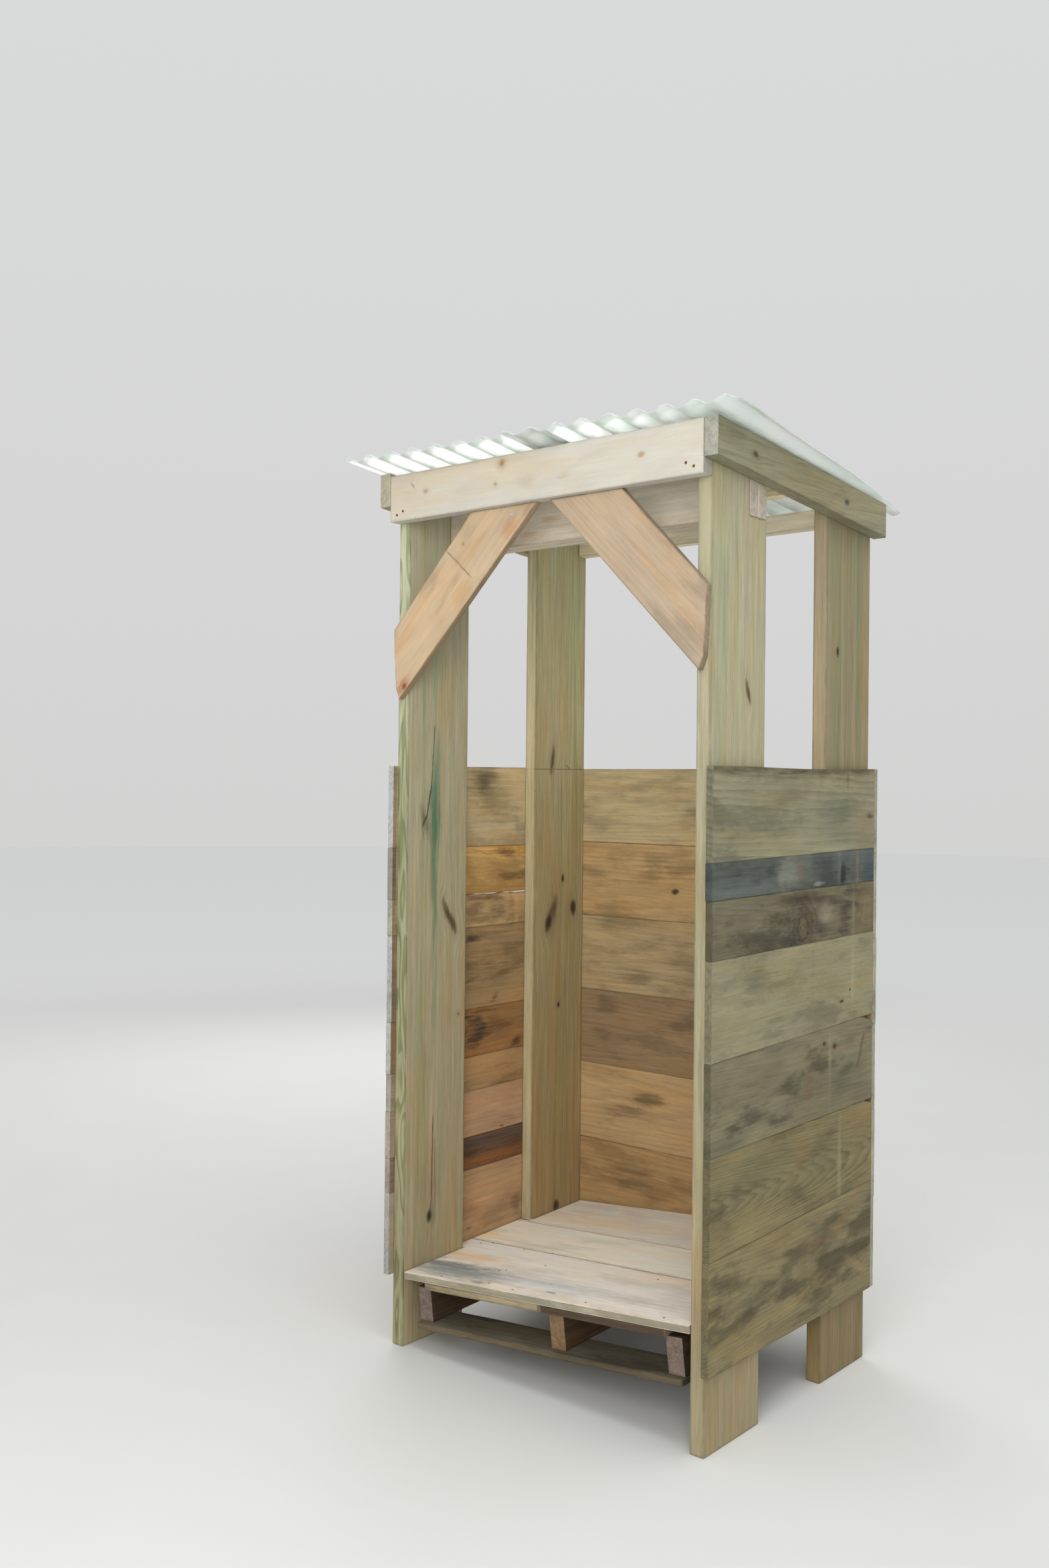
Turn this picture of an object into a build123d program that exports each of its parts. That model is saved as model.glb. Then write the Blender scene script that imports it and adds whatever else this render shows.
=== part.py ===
from build123d import *
import math
import os

# Open-fronted timber hut on four plank posts, one bay wide and one bay deep.
# Working frame while drawing: X to the right, Y to the back, Z up, with
# X = 0 on the outer face of the left posts, Y = 0 on the front faces of the
# front posts and Z = 0 at the lowest ground point, where the posts stand.
# OX and OY then move everything so that the origin is the middle of the
# bounding box at ground level.

# ---------------------------------------------------------------- dimensions
WIDTH = 990.0            # outer face of left posts to outer face of right posts
DEPTH = 765.0            # front face of front posts to back face of back posts
POST_T = 38.0            # post thickness across the hut
POST_W = 235.0           # post width, front to back
FRONT_POST_TOP = 2290.0
BACK_POST_TOP = 2246.0
NOTCH_DEPTH = 75.0       # notch in the back edge of each front post
NOTCH_BOTTOM = 2133.0

WALL_TOP = 1556.0        # highest point of the board walls
WALL_BOTTOM = 187.0
WALL_T = 19.0            # wall board thickness
WALL_PROUD = 17.0        # side boards run this far past the front of the posts

HEADER_T = 38.0          # front header, set on the front faces of the posts
HEADER_BOTTOM = 2198.0
HEADER_TOP = 2321.5

BEAM_T = 38.0            # side beams, set on the outer faces of the posts
BEAM_H = 89.0
BEAM_TOP_LEFT = 2330.0   # height of each beam's top edge at its front end
BEAM_TOP_RIGHT = 2322.5
ROOF_FALL = 0.087        # fall of the roof towards the back, per unit of run
BEAM_FRONT = -HEADER_T
BEAM_BACK = DEPTH + 15.0

CROSS_H = 140.0          # doubled crossbeam seated in the front posts' notches
PURLIN_FRONT = 363.0     # crosspiece between the side beams, midway back
PURLIN_BOTTOM = 2218.0
PURLIN_TOP = 2284.0
BACK_HEADER_FRONT = 727.0   # board between the back posts
BACK_HEADER_BOTTOM = 2201.0
BACK_HEADER_TOP = 2251.0

BRACE_T = 19.0           # knee braces on the front faces of the front posts
LEFT_BRACE = [(21.0, 1728.0), (494.0, 2198.0), (276.0, 2198.0), (0.0, 1914.0), (8.0, 1759.0)]
RIGHT_BRACE = [(21.0, 1763.0), (456.0, 2198.0), (238.0, 2198.0), (0.0, 1953.0), (8.0, 1794.0)]

# The floor and the pallet under it lie on rising ground: their plane climbs
# to the right and a little to the back.
FLOOR_TOP = 197.3        # height of the floor plane at X = 0, Y = 0
FLOOR_RISE_X = 0.0955
FLOOR_RISE_Y = 0.034
FLOOR_T = 19.0
FLOOR_GAP = 3.0          # clearance from the floor boards to posts and walls
FLOOR_JOINT_1 = 320.0    # joints between the floor boards, at the left wall
FLOOR_JOINT_2 = 522.0
FLOOR_JOINT_SKEW = 0.055
DECK_T = 20.0            # pallet top deck boards
DECK_W = 110.0
STRINGER_H = 89.0
STRINGER_T = 46.0
STRINGER_X = 96.0        # middle of the left stringer
MID_STRINGER_X = 546.0
SKID_T = 17.0            # pallet bottom deck boards
PALLET_FRONT = 4.0
STRINGER_FRONT = 18.0
PALLET_BACK = 745.0
DECK_LEFT = 111.0
DECK_SPLIT = 501.0       # the front deck board is in two pieces

SHEET_PITCH = 75.0       # roof corrugation
SHEET_DEPTH = 14.0
SHEET_T = 2.0
SHEET_SKEW = 0.05        # both sheets lie slightly askew, in radians
SHEET_LEFT = -60.0       # front left corner of the roof
SHEET_FRONT = -150.0
SHEET_SPAN = 1182.0      # along the front edge
SHEET_RUN = 1000.0       # from front to back, level
LAP_LEFT = 525.0         # left edge of the right-hand sheet, along the front
LAP_RIGHT = 660.0        # right edge of the left-hand sheet
TRIM_FRONT = 1123.0      # the right edge is cut askew: X of the cut at the
TRIM_SLOPE = 0.116       # front corner, and how fast it comes in

# wall joints from the top edge down: height at the front, height at the back
LEFT_JOINTS = [
    (1550.0, 1556.0), (1330.0, 1321.0), (1190.5, 1189.0), (1094.0, 1096.0), (861.5, 863.5),
    (723.0, 731.0), (623.0, 637.0), (498.0, 500.0), (405.0, 407.0), (187.0, 187.0),
]
RIGHT_JOINTS = [
    (1550.0, 1553.0), (1332.0, 1345.0), (1247.0, 1259.0), (1113.0, 1127.0), (885.0, 909.0),
    (675.0, 687.0), (443.0, 471.0), (187.0, 187.0),
]
BACK_JOINTS = [1553.0, 1330.0, 1106.0, 880.0, 655.0, 425.0, 187.0]
LEFT_GAP_BELOW = 2       # a tapering gap of light shows below this left board
LEFT_GAP_BACK = 6.0      # and is this wide at the back

# middle of the bounding box in the working frame
skew_c, skew_s = math.cos(SHEET_SKEW), math.sin(SHEET_SKEW)
roof_min_x = SHEET_LEFT - skew_s * SHEET_RUN
roof_max_x = SHEET_LEFT + skew_c * SHEET_SPAN
roof_max_y = 904.74
OX = -(roof_min_x + roof_max_x) / 2.0
OY = -(SHEET_FRONT + roof_max_y) / 2.0

os.makedirs("parts", exist_ok=True)

roof_tilt = (BEAM_TOP_LEFT - BEAM_TOP_RIGHT) / (WIDTH + BEAM_T)


def beam_top(top, y):
    """Height of a side beam's top edge at depth y."""
    return top - ROOF_FALL * (y - BEAM_FRONT)


# --------------------------------------------------------------------- posts
# Planks on edge. The front ones are notched at the top of their back edge.
for post_name, px, py, ptop in (
    ("front_left_post", 0.0, 0.0, FRONT_POST_TOP),
    ("front_right_post", WIDTH - POST_T, 0.0, FRONT_POST_TOP),
    ("back_left_post", 0.0, DEPTH - POST_W, BACK_POST_TOP),
    ("back_right_post", WIDTH - POST_T, DEPTH - POST_W, BACK_POST_TOP),
):
    with BuildPart() as post:
        with BuildSketch(Plane.XY):
            with Locations((px + POST_T / 2 + OX, py + POST_W / 2 + OY)):
                Rectangle(POST_T, POST_W)
        extrude(amount=ptop)
        if post_name.startswith("front"):
            with BuildSketch(Plane.XY.offset(NOTCH_BOTTOM)):
                with Locations((px + POST_T / 2 + OX, POST_W - NOTCH_DEPTH / 2 + OY)):
                    Rectangle(POST_T, NOTCH_DEPTH)
            extrude(amount=ptop - NOTCH_BOTTOM, mode=Mode.SUBTRACT)
    post.part.label = post_name
    export_step(post.part, "parts/" + post_name + ".step")

# -------------------------------------------------------------- cross beams
# All of them are level boards on edge, running from left to right.
cross_front = POST_W - NOTCH_DEPTH
cross_t = NOTCH_DEPTH / 2.0
for beam_name, x0, x1, y0, thick, z0, z1 in (
    ("front_header", 0.0, WIDTH, -HEADER_T, HEADER_T, HEADER_BOTTOM, HEADER_TOP),
    ("crossbeam_front_board", 0.0, WIDTH, cross_front, cross_t, NOTCH_BOTTOM, NOTCH_BOTTOM + CROSS_H),
    ("crossbeam_back_board", 0.0, WIDTH, cross_front + cross_t, cross_t, NOTCH_BOTTOM, NOTCH_BOTTOM + CROSS_H),
    ("roof_purlin", 0.0, WIDTH, PURLIN_FRONT, BEAM_T, PURLIN_BOTTOM, PURLIN_TOP),
    ("back_header", POST_T, WIDTH - POST_T, BACK_HEADER_FRONT, BEAM_T, BACK_HEADER_BOTTOM, BACK_HEADER_TOP),
):
    with BuildPart() as cross_beam:
        with BuildSketch(Plane.XY.offset(z0)):
            with Locations(((x0 + x1) / 2 + OX, y0 + thick / 2 + OY)):
                Rectangle(x1 - x0, thick)
        extrude(amount=z1 - z0)
    cross_beam.part.label = beam_name
    export_step(cross_beam.part, "parts/" + beam_name + ".step")

# ------------------------------------------ side beams, falling to the back
for beam_name, bx, top in (
    ("left_side_beam", -BEAM_T, BEAM_TOP_LEFT),
    ("right_side_beam", WIDTH, BEAM_TOP_RIGHT),
):
    with BuildPart() as side_beam:
        with BuildSketch(Plane.YZ.offset(bx + OX)):
            with BuildLine():
                Polyline(
                    (BEAM_FRONT + OY, beam_top(top, BEAM_FRONT) - BEAM_H),
                    (BEAM_BACK + OY, beam_top(top, BEAM_BACK) - BEAM_H),
                    (BEAM_BACK + OY, beam_top(top, BEAM_BACK)),
                    (BEAM_FRONT + OY, beam_top(top, BEAM_FRONT)),
                    close=True,
                )
            make_face()
        extrude(amount=BEAM_T)
    side_beam.part.label = beam_name
    export_step(side_beam.part, "parts/" + beam_name + ".step")

# ------------------------------------------------------------- knee braces
# Outline of each brace in the XZ plane, measured inwards from the outer edge
# of its post: a mitred plank running up to the underside of the header.
for brace_name, sign, base, outline in (
    ("front_left_brace", 1.0, 0.0, LEFT_BRACE),
    ("front_right_brace", -1.0, WIDTH, RIGHT_BRACE),
):
    with BuildPart() as brace:
        with BuildSketch(Plane.XZ.offset(-OY)):
            with BuildLine():
                Polyline(*[(base + sign * bx + OX, bz) for bx, bz in outline], close=True)
            make_face()
        extrude(amount=BRACE_T)
    brace.part.label = brace_name
    export_step(brace.part, "parts/" + brace_name + ".step")

# ---------------------------------------------------------- side wall boards
for side_name, joints, sx in (
    ("left_wall_board_", LEFT_JOINTS, -WALL_T),
    ("right_wall_board_", RIGHT_JOINTS, WIDTH),
):
    for number in range(1, len(joints)):
        top_front, top_back = joints[number - 1]
        bottom_front, bottom_back = joints[number]
        if side_name.startswith("left") and number == LEFT_GAP_BELOW + 1:
            top_back -= LEFT_GAP_BACK
        with BuildPart() as wall_board:
            with BuildSketch(Plane.YZ.offset(sx + OX)):
                with BuildLine():
                    Polyline(
                        (-WALL_PROUD + OY, bottom_front),
                        (DEPTH + OY, bottom_back),
                        (DEPTH + OY, top_back),
                        (-WALL_PROUD + OY, top_front),
                        close=True,
                    )
                make_face()
            extrude(amount=WALL_T)
        wall_board.part.label = side_name + str(number)
        export_step(wall_board.part, "parts/" + side_name + str(number) + ".step")

# ---------------------------------------------------------- back wall boards
for number in range(1, len(BACK_JOINTS)):
    top = BACK_JOINTS[number - 1]
    bottom = BACK_JOINTS[number]
    with BuildPart() as back_board:
        with BuildSketch(Plane.XY.offset(bottom)):
            with Locations((WIDTH / 2 + OX, DEPTH + WALL_T / 2 + OY)):
                Rectangle(WIDTH + 2 * WALL_T, WALL_T)
        extrude(amount=top - bottom)
    back_board.part.label = "back_wall_board_" + str(number)
    export_step(back_board.part, "parts/back_wall_board_" + str(number) + ".step")

# -------------------------------------------------------------------- pallet
# Sketched on planes parallel to the sloping floor. Sketch coordinates run
# along the floor from the point X = 0, Y = 0.
floor_normal = Vector(-FLOOR_RISE_X, -FLOOR_RISE_Y, 1.0).normalized()
floor_plane = Plane(
    origin=(OX, OY, FLOOR_TOP),
    x_dir=(1.0, 0.0, FLOOR_RISE_X),
    z_dir=(floor_normal.X, floor_normal.Y, floor_normal.Z),
)
deck_bottom = -FLOOR_T - DECK_T
stringer_bottom = deck_bottom - STRINGER_H
skid_bottom = stringer_bottom - SKID_T
stringer_len = PALLET_BACK - STRINGER_FRONT
for stringer_name, mid in (
    ("pallet_left_stringer", STRINGER_X),
    ("pallet_middle_stringer", MID_STRINGER_X),
    ("pallet_right_stringer", WIDTH - STRINGER_X),
):
    with BuildPart() as stringer:
        with BuildSketch(floor_plane.offset(stringer_bottom)):
            with Locations((mid, STRINGER_FRONT + stringer_len / 2)):
                Rectangle(STRINGER_T, stringer_len)
        extrude(amount=STRINGER_H)
    stringer.part.label = stringer_name
    export_step(stringer.part, "parts/" + stringer_name + ".step")

pallet_len = PALLET_BACK - PALLET_FRONT
deck_right = WIDTH - DECK_LEFT
deck_step = (pallet_len - DECK_W) / 5.0
with BuildPart() as pallet_top_deck:
    with BuildSketch(floor_plane.offset(deck_bottom)):
        for x0, x1 in ((DECK_LEFT, DECK_SPLIT - 1.0), (DECK_SPLIT + 1.0, deck_right)):
            with Locations(((x0 + x1) / 2, PALLET_FRONT + DECK_W / 2)):
                Rectangle(x1 - x0, DECK_W)
        with Locations(
            *[
                (WIDTH / 2, PALLET_FRONT + DECK_W / 2 + i * deck_step)
                for i in range(1, 6)
            ]
        ):
            Rectangle(deck_right - DECK_LEFT, DECK_W)
    extrude(amount=DECK_T)
pallet_top_deck.part.label = "pallet_top_deck"
export_step(pallet_top_deck.part, "parts/pallet_top_deck.step")

skid_left = STRINGER_X - STRINGER_T / 2
skid_step = (pallet_len - DECK_W) / 2.0
with BuildPart() as pallet_bottom_deck:
    with BuildSketch(floor_plane.offset(skid_bottom)):
        with Locations(
            *[
                (WIDTH / 2, PALLET_FRONT + DECK_W / 2 + i * skid_step)
                for i in range(3)
            ]
        ):
            Rectangle(WIDTH - 2 * skid_left, DECK_W)
    extrude(amount=SKID_T)
pallet_bottom_deck.part.label = "pallet_bottom_deck"
export_step(pallet_bottom_deck.part, "parts/pallet_bottom_deck.step")

# -------------------------------------------------------------- floor boards
# Three wide boards, cut round the posts with a little clearance. Between the
# posts they run out to the walls.
back_post_front = DEPTH - POST_W
floor_right = WIDTH - FLOOR_GAP
skew = FLOOR_JOINT_SKEW * WIDTH
floor_lines = [
    (0.0, 0.0),
    (FLOOR_JOINT_1, FLOOR_JOINT_1 - skew),
    (FLOOR_JOINT_2, FLOOR_JOINT_2 - skew),
    (DEPTH - FLOOR_GAP, DEPTH - FLOOR_GAP),
]
for number in range(1, 4):
    front_l, front_r = floor_lines[number - 1]
    back_l, back_r = floor_lines[number]
    if number > 1:
        front_l += 1.0
        front_r += 1.0
    with BuildPart() as floor_board:
        with BuildSketch(floor_plane.offset(-FLOOR_T)):
            with BuildLine():
                Polyline(
                    (FLOOR_GAP, front_l),
                    (floor_right, front_r),
                    (floor_right, back_r),
                    (FLOOR_GAP, back_l),
                    close=True,
                )
            make_face()
        extrude(amount=FLOOR_T)
        with BuildSketch(Plane.XY):
            with Locations(
                (POST_T / 2 + OX, POST_W / 2 - 10.0 + OY),
                (WIDTH - POST_T / 2 + OX, POST_W / 2 - 10.0 + OY),
                (POST_T / 2 + OX, DEPTH - POST_W / 2 + 10.0 + OY),
                (WIDTH - POST_T / 2 + OX, DEPTH - POST_W / 2 + 10.0 + OY),
            ):
                Rectangle(POST_T + 2 * FLOOR_GAP, POST_W + 20.0 + 2 * FLOOR_GAP)
        extrude(amount=400.0, mode=Mode.SUBTRACT)
    floor_board.part.label = "floor_board_" + str(number)
    export_step(floor_board.part, "parts/floor_board_" + str(number) + ".step")

# ---------------------------------------------------- corrugated roof sheets
# Two sheets lapped near the middle of the roof, the right one on top. Each
# is drawn as its wavy section in an upright plane along the front edge, then
# run down the slope. The right-hand edge of the right sheet is cut askew.
SHEET_CLEAR = 0.6
steps_per_wave = 8
front_drop = ROOF_FALL * skew_s + roof_tilt * skew_c
run_drop = ROOF_FALL * skew_c - roof_tilt * skew_s
corner_z = BEAM_TOP_LEFT - ROOF_FALL * (SHEET_FRONT - BEAM_FRONT) - roof_tilt * SHEET_LEFT + SHEET_CLEAR


def wave(s):
    return SHEET_DEPTH / 2.0 * (1.0 - math.cos(2.0 * math.pi * (s + 24.0) / SHEET_PITCH))


sheet_plane = Plane(
    origin=(SHEET_LEFT + OX, SHEET_FRONT + OY, corner_z),
    x_dir=(skew_c, skew_s, 0.0),
    z_dir=(skew_s, -skew_c, 0.0),
)
run_length = SHEET_RUN * math.sqrt(1.0 + run_drop ** 2)
for sheet_name, s0, s1, lift in (
    ("roof_sheet_left", 0.0, LAP_RIGHT, 0.0),
    ("roof_sheet_right", LAP_LEFT, SHEET_SPAN, SHEET_T + 0.3),
):
    step = SHEET_PITCH / steps_per_wave
    steps = [s0 + i * step for i in range(int((s1 - s0 - 1.0) / step) + 1)] + [s1]
    lower = [(s, wave(s) - front_drop * s + lift) for s in steps]
    upper = [(s, h + SHEET_T) for s, h in reversed(lower)]
    with BuildPart() as sheet:
        with BuildSketch(sheet_plane):
            with BuildLine():
                Polyline(*(lower + upper), close=True)
            make_face()
        extrude(amount=run_length, dir=(-skew_s, skew_c, -run_drop))
        if sheet_name == "roof_sheet_right":
            with BuildSketch(Plane.XY.offset(2100.0)):
                with BuildLine():
                    Polyline(
                        (TRIM_FRONT + OX, -200.0 + OY),
                        (TRIM_FRONT + 400.0 + OX, -200.0 + OY),
                        (TRIM_FRONT + 400.0 + OX, 1100.0 + OY),
                        (TRIM_FRONT - TRIM_SLOPE * 1180.0 + OX, 1100.0 + OY),
                        (TRIM_FRONT + OX, -80.0 + OY),
                        close=True,
                    )
                make_face()
            extrude(amount=400.0, mode=Mode.SUBTRACT)
    sheet.part.label = sheet_name
    export_step(sheet.part, "parts/" + sheet_name + ".step")
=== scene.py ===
import bpy, bmesh, math, random
from mathutils import Vector, Matrix, noise


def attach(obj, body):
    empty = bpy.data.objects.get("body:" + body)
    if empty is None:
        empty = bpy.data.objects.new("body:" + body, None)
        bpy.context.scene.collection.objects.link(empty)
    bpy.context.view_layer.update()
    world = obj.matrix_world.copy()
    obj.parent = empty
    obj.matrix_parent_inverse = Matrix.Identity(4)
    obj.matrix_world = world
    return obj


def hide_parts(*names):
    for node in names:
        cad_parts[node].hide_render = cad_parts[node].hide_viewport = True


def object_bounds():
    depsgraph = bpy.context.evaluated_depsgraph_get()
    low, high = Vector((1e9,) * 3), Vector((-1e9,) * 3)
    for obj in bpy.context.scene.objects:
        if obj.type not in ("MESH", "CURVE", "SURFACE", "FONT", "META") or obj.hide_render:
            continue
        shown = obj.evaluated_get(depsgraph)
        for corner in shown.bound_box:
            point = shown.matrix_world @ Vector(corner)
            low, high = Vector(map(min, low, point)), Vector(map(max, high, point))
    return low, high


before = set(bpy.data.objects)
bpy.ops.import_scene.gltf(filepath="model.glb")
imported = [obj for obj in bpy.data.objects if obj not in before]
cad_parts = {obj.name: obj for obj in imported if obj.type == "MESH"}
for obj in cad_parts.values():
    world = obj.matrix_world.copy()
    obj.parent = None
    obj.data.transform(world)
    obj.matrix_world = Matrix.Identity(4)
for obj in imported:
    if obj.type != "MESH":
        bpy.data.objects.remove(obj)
cad_lo, cad_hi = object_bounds()

# ------------------------------------------------------------------ dimensions
# Millimetres in the hut's own frame: X = 0 on the outer face of the left
# posts, Y = 0 on the front faces of the front posts, Z = 0 on the ground.
W, D, T, PW = 990.0, 765.0, 38.0, 235.0
SKEW, S_LEFT, S_FRONT, S_SPAN, S_RUN = 0.05, -60.0, -150.0, 1182.0, 1000.0
SKC, SKS = math.cos(SKEW), math.sin(SKEW)
OX = -((S_LEFT - SKS * S_RUN) + (S_LEFT + SKC * S_SPAN)) / 2.0
OY = -(S_FRONT + 904.74) / 2.0
FALL, TOP_L, TOP_R = 0.087, 2330.0, 2322.5
TILT = (TOP_L - TOP_R) / (W + 38.0)
HEAD_B, HEAD_T = 2198.0, 2321.5
F0, FA, FB = 197.3, 0.0955, 0.034
LEFT_J = [(1550.0, 1556.0), (1330.0, 1321.0), (1190.5, 1189.0), (1094.0, 1096.0), (861.5, 863.5),
          (723.0, 731.0), (623.0, 637.0), (498.0, 500.0), (405.0, 407.0), (187.0, 187.0)]
RIGHT_J = [(1550.0, 1553.0), (1332.0, 1345.0), (1247.0, 1259.0), (1113.0, 1127.0), (885.0, 909.0),
           (675.0, 687.0), (443.0, 471.0), (187.0, 187.0)]
BACK_J = [1553.0, 1330.0, 1106.0, 880.0, 655.0, 425.0, 187.0]


def R(x, y, z):
    """Hut frame in millimetres to the row frame in metres."""
    return Vector(((x + OX) / 1000.0, (y + OY) / 1000.0, z / 1000.0))


def inside(p, gap):
    """Keeps a point within the solids' outer box, less a small gap."""
    q = Vector([min(max(p[i], cad_lo[i] + gap), cad_hi[i] - gap) for i in range(3)])
    q.z = max(p.z, 0.0)
    return q


def srgb(r, g, b, k=1.0):
    out = []
    for c in (r, g, b):
        c = c / 255.0
        c = c / 12.92 if c <= 0.04045 else ((c + 0.055) / 1.055) ** 2.4
        out.append(min(c * k, 1.0))
    return (*out, 1.0)


# ------------------------------------------------------------- shader helpers
class Net:
    """Short names for building one material's nodes."""

    def __init__(self, name):
        self.mat = bpy.data.materials.new(name)
        self.mat.use_nodes = True
        self.nt = self.mat.node_tree
        self.nt.nodes.clear()

    def node(self, kind, **props):
        n = self.nt.nodes.new(kind)
        for k, v in props.items():
            setattr(n, k, v)
        return n

    def put(self, socket, value):
        if isinstance(value, bpy.types.NodeSocket):
            self.nt.links.new(value, socket)
        elif value is not None:
            socket.default_value = value

    def math(self, op, a, b=None, c=None, clamp=False):
        n = self.node("ShaderNodeMath", operation=op, use_clamp=clamp)
        for i, v in enumerate((a, b, c)):
            if v is not None:
                self.put(n.inputs[i], v)
        return n.outputs[0]

    def vec(self, op, a, b=None, scale=None):
        n = self.node("ShaderNodeVectorMath", operation=op)
        self.put(n.inputs[0], a)
        if b is not None:
            self.put(n.inputs[1], b)
        if scale is not None:
            self.put(n.inputs[3], scale)
        return n.outputs[1] if op in ("LENGTH", "DOT_PRODUCT", "DISTANCE") else n.outputs[0]

    def noise(self, vector, scale=1.0, detail=2.0, rough=0.5, distort=0.0):
        n = self.node("ShaderNodeTexNoise")
        self.put(n.inputs["Vector"], vector)
        n.inputs["Scale"].default_value = scale
        n.inputs["Detail"].default_value = detail
        n.inputs["Roughness"].default_value = rough
        n.inputs["Distortion"].default_value = distort
        return n.outputs["Fac"], n.outputs["Color"]

    def span(self, v, a, b, c=0.0, d=1.0, smooth=True):
        n = self.node("ShaderNodeMapRange", interpolation_type="SMOOTHSTEP" if smooth else "LINEAR")
        n.clamp = True
        for i, x in enumerate((v, a, b, c, d)):
            self.put(n.inputs[i], x)
        return n.outputs[0]

    def mix(self, fac, a, b, blend="MIX"):
        n = self.node("ShaderNodeMix", data_type="RGBA", blend_type=blend)
        n.clamp_factor = True
        self.put(n.inputs[0], fac)
        self.put(n.inputs[6], a)
        self.put(n.inputs[7], b)
        return n.outputs[2]

    def sep(self, v):
        n = self.node("ShaderNodeSeparateXYZ")
        self.put(n.inputs[0], v)
        return n.outputs[0], n.outputs[1], n.outputs[2]

    def join(self, x, y, z):
        n = self.node("ShaderNodeCombineXYZ")
        for i, v in enumerate((x, y, z)):
            self.put(n.inputs[i], v)
        return n.outputs[0]

    def attr(self, name):
        return self.node("ShaderNodeAttribute", attribute_name=name).outputs["Fac"]


AXES = {"X": Vector((1, 0, 0)), "Y": Vector((0, 1, 0)), "Z": Vector((0, 0, 1))}


# Colour multipliers per wood (linear red, green, blue) under the studio light. They carry painted light and shade:
# woods inside the hut are lifted against its shade, the front header and braces are dimmed, and the pallet's
# stringers and skids are darkened as painted shade under the floor.
# tuned-start
TUNE = {
    "wood_back_1": (1.49, 1.5, 1.42),
    "wood_back_2": (1.49, 1.5, 1.42),
    "wood_back_3": (1.49, 1.5, 1.42),
    "wood_back_4": (1.49, 1.5, 1.42),
    "wood_back_5": (1.49, 1.5, 1.42),
    "wood_back_6": (1.49, 1.5, 1.42),
    "wood_back_header": (1.71, 1.78, 1.89),
    "wood_back_left_post": (1.64, 1.61, 1.78),
    "wood_back_right_post": (1.0, 0.81, 0.73),
    "wood_crossbeam": (1.7, 1.56, 1.36),
    "wood_deck": (0.95, 0.93, 0.88),
    "wood_floor_1": (1.32, 1.27, 1.13),
    "wood_floor_2": (1.8, 1.89, 1.73),
    "wood_floor_3": (2.13, 2.47, 2.66),
    "wood_front_left_post": (1.31, 1.33, 1.4),
    "wood_front_right_post": (1.18, 1.17, 1.2),
    "wood_header": (0.78, 0.79, 0.82),
    "wood_left_1": (1.79, 1.81, 1.8),
    "wood_left_2": (2.09, 2.11, 1.92),
    "wood_left_3": (1.8, 1.85, 1.74),
    "wood_left_4": (1.52, 1.49, 1.41),
    "wood_left_5": (1.43, 1.43, 1.42),
    "wood_left_6": (1.55, 1.54, 1.46),
    "wood_left_7": (1.5, 1.54, 1.55),
    "wood_left_8": (1.46, 1.35, 1.14),
    "wood_left_9": (1.48, 1.52, 1.48),
    "wood_left_brace": (0.91, 0.82, 0.66),
    "wood_left_side_beam": (1.0, 0.97, 0.95),
    "wood_purlin": (1.71, 1.78, 1.89),
    "wood_right_1": (1.24, 1.06, 0.97),
    "wood_right_2": (0.99, 0.91, 0.89),
    "wood_right_3": (1.15, 0.96, 0.88),
    "wood_right_4": (1.16, 1.01, 0.96),
    "wood_right_5": (1.25, 1.03, 0.94),
    "wood_right_6": (1.27, 1.06, 0.92),
    "wood_right_7": (1.61, 1.35, 1.15),
    "wood_right_brace": (0.79, 0.68, 0.54),
    "wood_right_side_beam": (0.93, 0.87, 0.84),
    "wood_skids": (0.85, 0.85, 0.85),
    "wood_stringer_middle": (0.6, 0.6, 0.55),
    "wood_stringers": (0.6, 0.6, 0.55),
}
# tuned-end


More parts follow.
